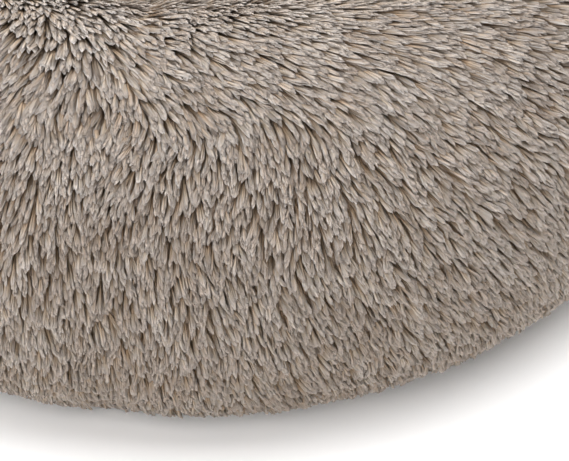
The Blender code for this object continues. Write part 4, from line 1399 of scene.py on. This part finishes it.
# Zip coils: a nylon filament wound into a flat coil along each tape's cord. The two coils lie half a
# turn apart, and their heads lock past each other along the middle of the zip.
coil_low, coil_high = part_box("zip_coil_rear")
COIL_PITCH, COIL_WIRE = 0.0015, 0.00032
COIL_HEAD = 0.00035  # how far the heads reach past the zip's middle
nylon, nylon_tree, nylon_shader = new_material(
    "nylon_monofilament", {"Roughness": 0.38, "IOR": 1.53}
)
nylon_place = add_node(nylon_tree, "ShaderNodeTexCoord").outputs["Object"]
nylon_haze = add_node(
    nylon_tree, "ShaderNodeTexNoise", {"Vector": nylon_place, "Scale": 300.0, "Detail": 2.0}
).outputs["Fac"]
nylon_tones = ((0.0, "#5E5247"), (1.0, "#786A5D"))
patterned(nylon_tree, nylon_shader, nylon_haze, nylon_tones)

coil_sizes = {
    "Turns": 100.0,
    "Length": 0.2,
    "Middle": (0.0, 0.0, 0.0),
    "Half Width": 0.0015,
    "Half Height": 0.0008,
    "Wire Radius": COIL_WIRE,
}
coil_tree, given = new_tree("zip_coil", coil_sizes)
helix = add_node(
    coil_tree,
    "GeometryNodeCurveSpiral",
    {
        "Resolution": 10,
        "Rotations": given["Turns"],
        "Start Radius": 1.0,
        "End Radius": 1.0,
        "Height": given["Length"],
    },
).outputs[0]
coil_here = add_node(coil_tree, "GeometryNodeInputPosition").outputs[0]
helix_place = add_node(coil_tree, "ShaderNodeSeparateXYZ", {0: coil_here}).outputs
wide = add_node(
    coil_tree, "ShaderNodeMath", {0: helix_place[0], 1: given["Half Width"]}, operation="MULTIPLY"
).outputs[0]
high = add_node(
    coil_tree, "ShaderNodeMath", {0: helix_place[1], 1: given["Half Height"]}, operation="MULTIPLY"
).outputs[0]
flat_place = add_node(
    coil_tree, "ShaderNodeCombineXYZ", {0: helix_place[2], 1: wide, 2: high}
).outputs[0]
flat_place = add_node(
    coil_tree, "ShaderNodeVectorMath", {0: flat_place, 1: given["Middle"]}, operation="ADD"
).outputs[0]
helix = add_node(
    coil_tree, "GeometryNodeSetPosition", {"Geometry": helix, "Position": flat_place}
).outputs[0]
section = add_node(
    coil_tree, "GeometryNodeCurvePrimitiveCircle", {"Resolution": 6, "Radius": given["Wire Radius"]}
).outputs[0]
filament = add_node(
    coil_tree,
    "GeometryNodeCurveToMesh",
    {"Curve": helix, "Profile Curve": section, "Fill Caps": True},
).outputs[0]
end_tree(coil_tree, filament, given)

coil_length = coil_high.x - coil_low.x - COIL_PITCH - 2 * COIL_WIRE
coil_turns = math.floor(coil_length / COIL_PITCH)
coil_outer = coil_high.y - COIL_WIRE
coil_half = (coil_outer + COIL_HEAD - COIL_WIRE) / 2
for name, side in (("zip_coil_front", -1), ("zip_coil_rear", 1)):
    carrier = mesh_piece("patch", [(0, 0, 0)], [])
    start = coil_low.x + COIL_WIRE + (COIL_PITCH / 2 if side > 0 else 0)
    coil = grow(
        name + "_filament",
        carrier,
        coil_tree,
        turns=float(coil_turns),
        length=coil_turns * COIL_PITCH,
        middle=(start, side * (coil_outer - coil_half), (coil_low.z + coil_high.z) / 2),
        half_width=side * coil_half,
        half_height=(coil_high.z - coil_low.z) / 2 - COIL_WIRE,
        material=nylon,
    )
    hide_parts(name)


# End stops, slider and pull tab: zinc alloy cast and brass stamped, plated and tumbled to a dull
# grey. The stops are pressed on to the tapes; the slider's bridge holds the tab, which swings.
EDGE_ROUND = {
    "zip_top_stop_front": 0.00025,
    "zip_top_stop_rear": 0.00025,
    "zip_bottom_stop": 0.00030,
    "zip_slider_body": 0.00022,
    "zip_slider_bridge": 0.00022,
    "zip_pull_tab": 0.00028,
}
plated_zinc, zinc_tree, zinc_shader = new_material(
    "tumbled_plated_zinc", {"Metallic": 1.0, "Roughness": 0.4}
)
zinc_place = add_node(zinc_tree, "ShaderNodeTexCoord").outputs["Object"]
zinc_clouds = add_node(
    zinc_tree, "ShaderNodeTexNoise", {"Vector": zinc_place, "Scale": 180.0, "Detail": 4.0}
).outputs["Fac"]
zinc_scratches = add_node(
    zinc_tree, "ShaderNodeTexNoise", {"Vector": zinc_place, "Scale": 1500.0, "Detail": 2.0}
).outputs["Fac"]
zinc_tones = ((0.0, "#8E8A85"), (1.0, "#B4B0AA"))
patterned(zinc_tree, zinc_shader, zinc_clouds, zinc_tones, zinc_scratches, (0.15, 0.00005))
zinc_rough = add_node(
    zinc_tree, "ShaderNodeMath", {0: zinc_clouds, 1: 0.3, 2: 0.26}, operation="MULTIPLY_ADD"
).outputs[0]
zinc_tree.links.new(zinc_rough, zinc_shader.inputs["Roughness"])
for name, edge in EDGE_ROUND.items():
    part = bpy.data.objects[name]
    for place in part.material_slots:
        place.material = plated_zinc
    welded = part.modifiers.new("welded", "WELD")
    welded.merge_threshold = 1e-6
    rounded = part.modifiers.new("rounded", "BEVEL")
    rounded.width = edge
    rounded.segments = 3
    rounded.limit_method = "ANGLE"
    rounded.harden_normals = True

low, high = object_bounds()
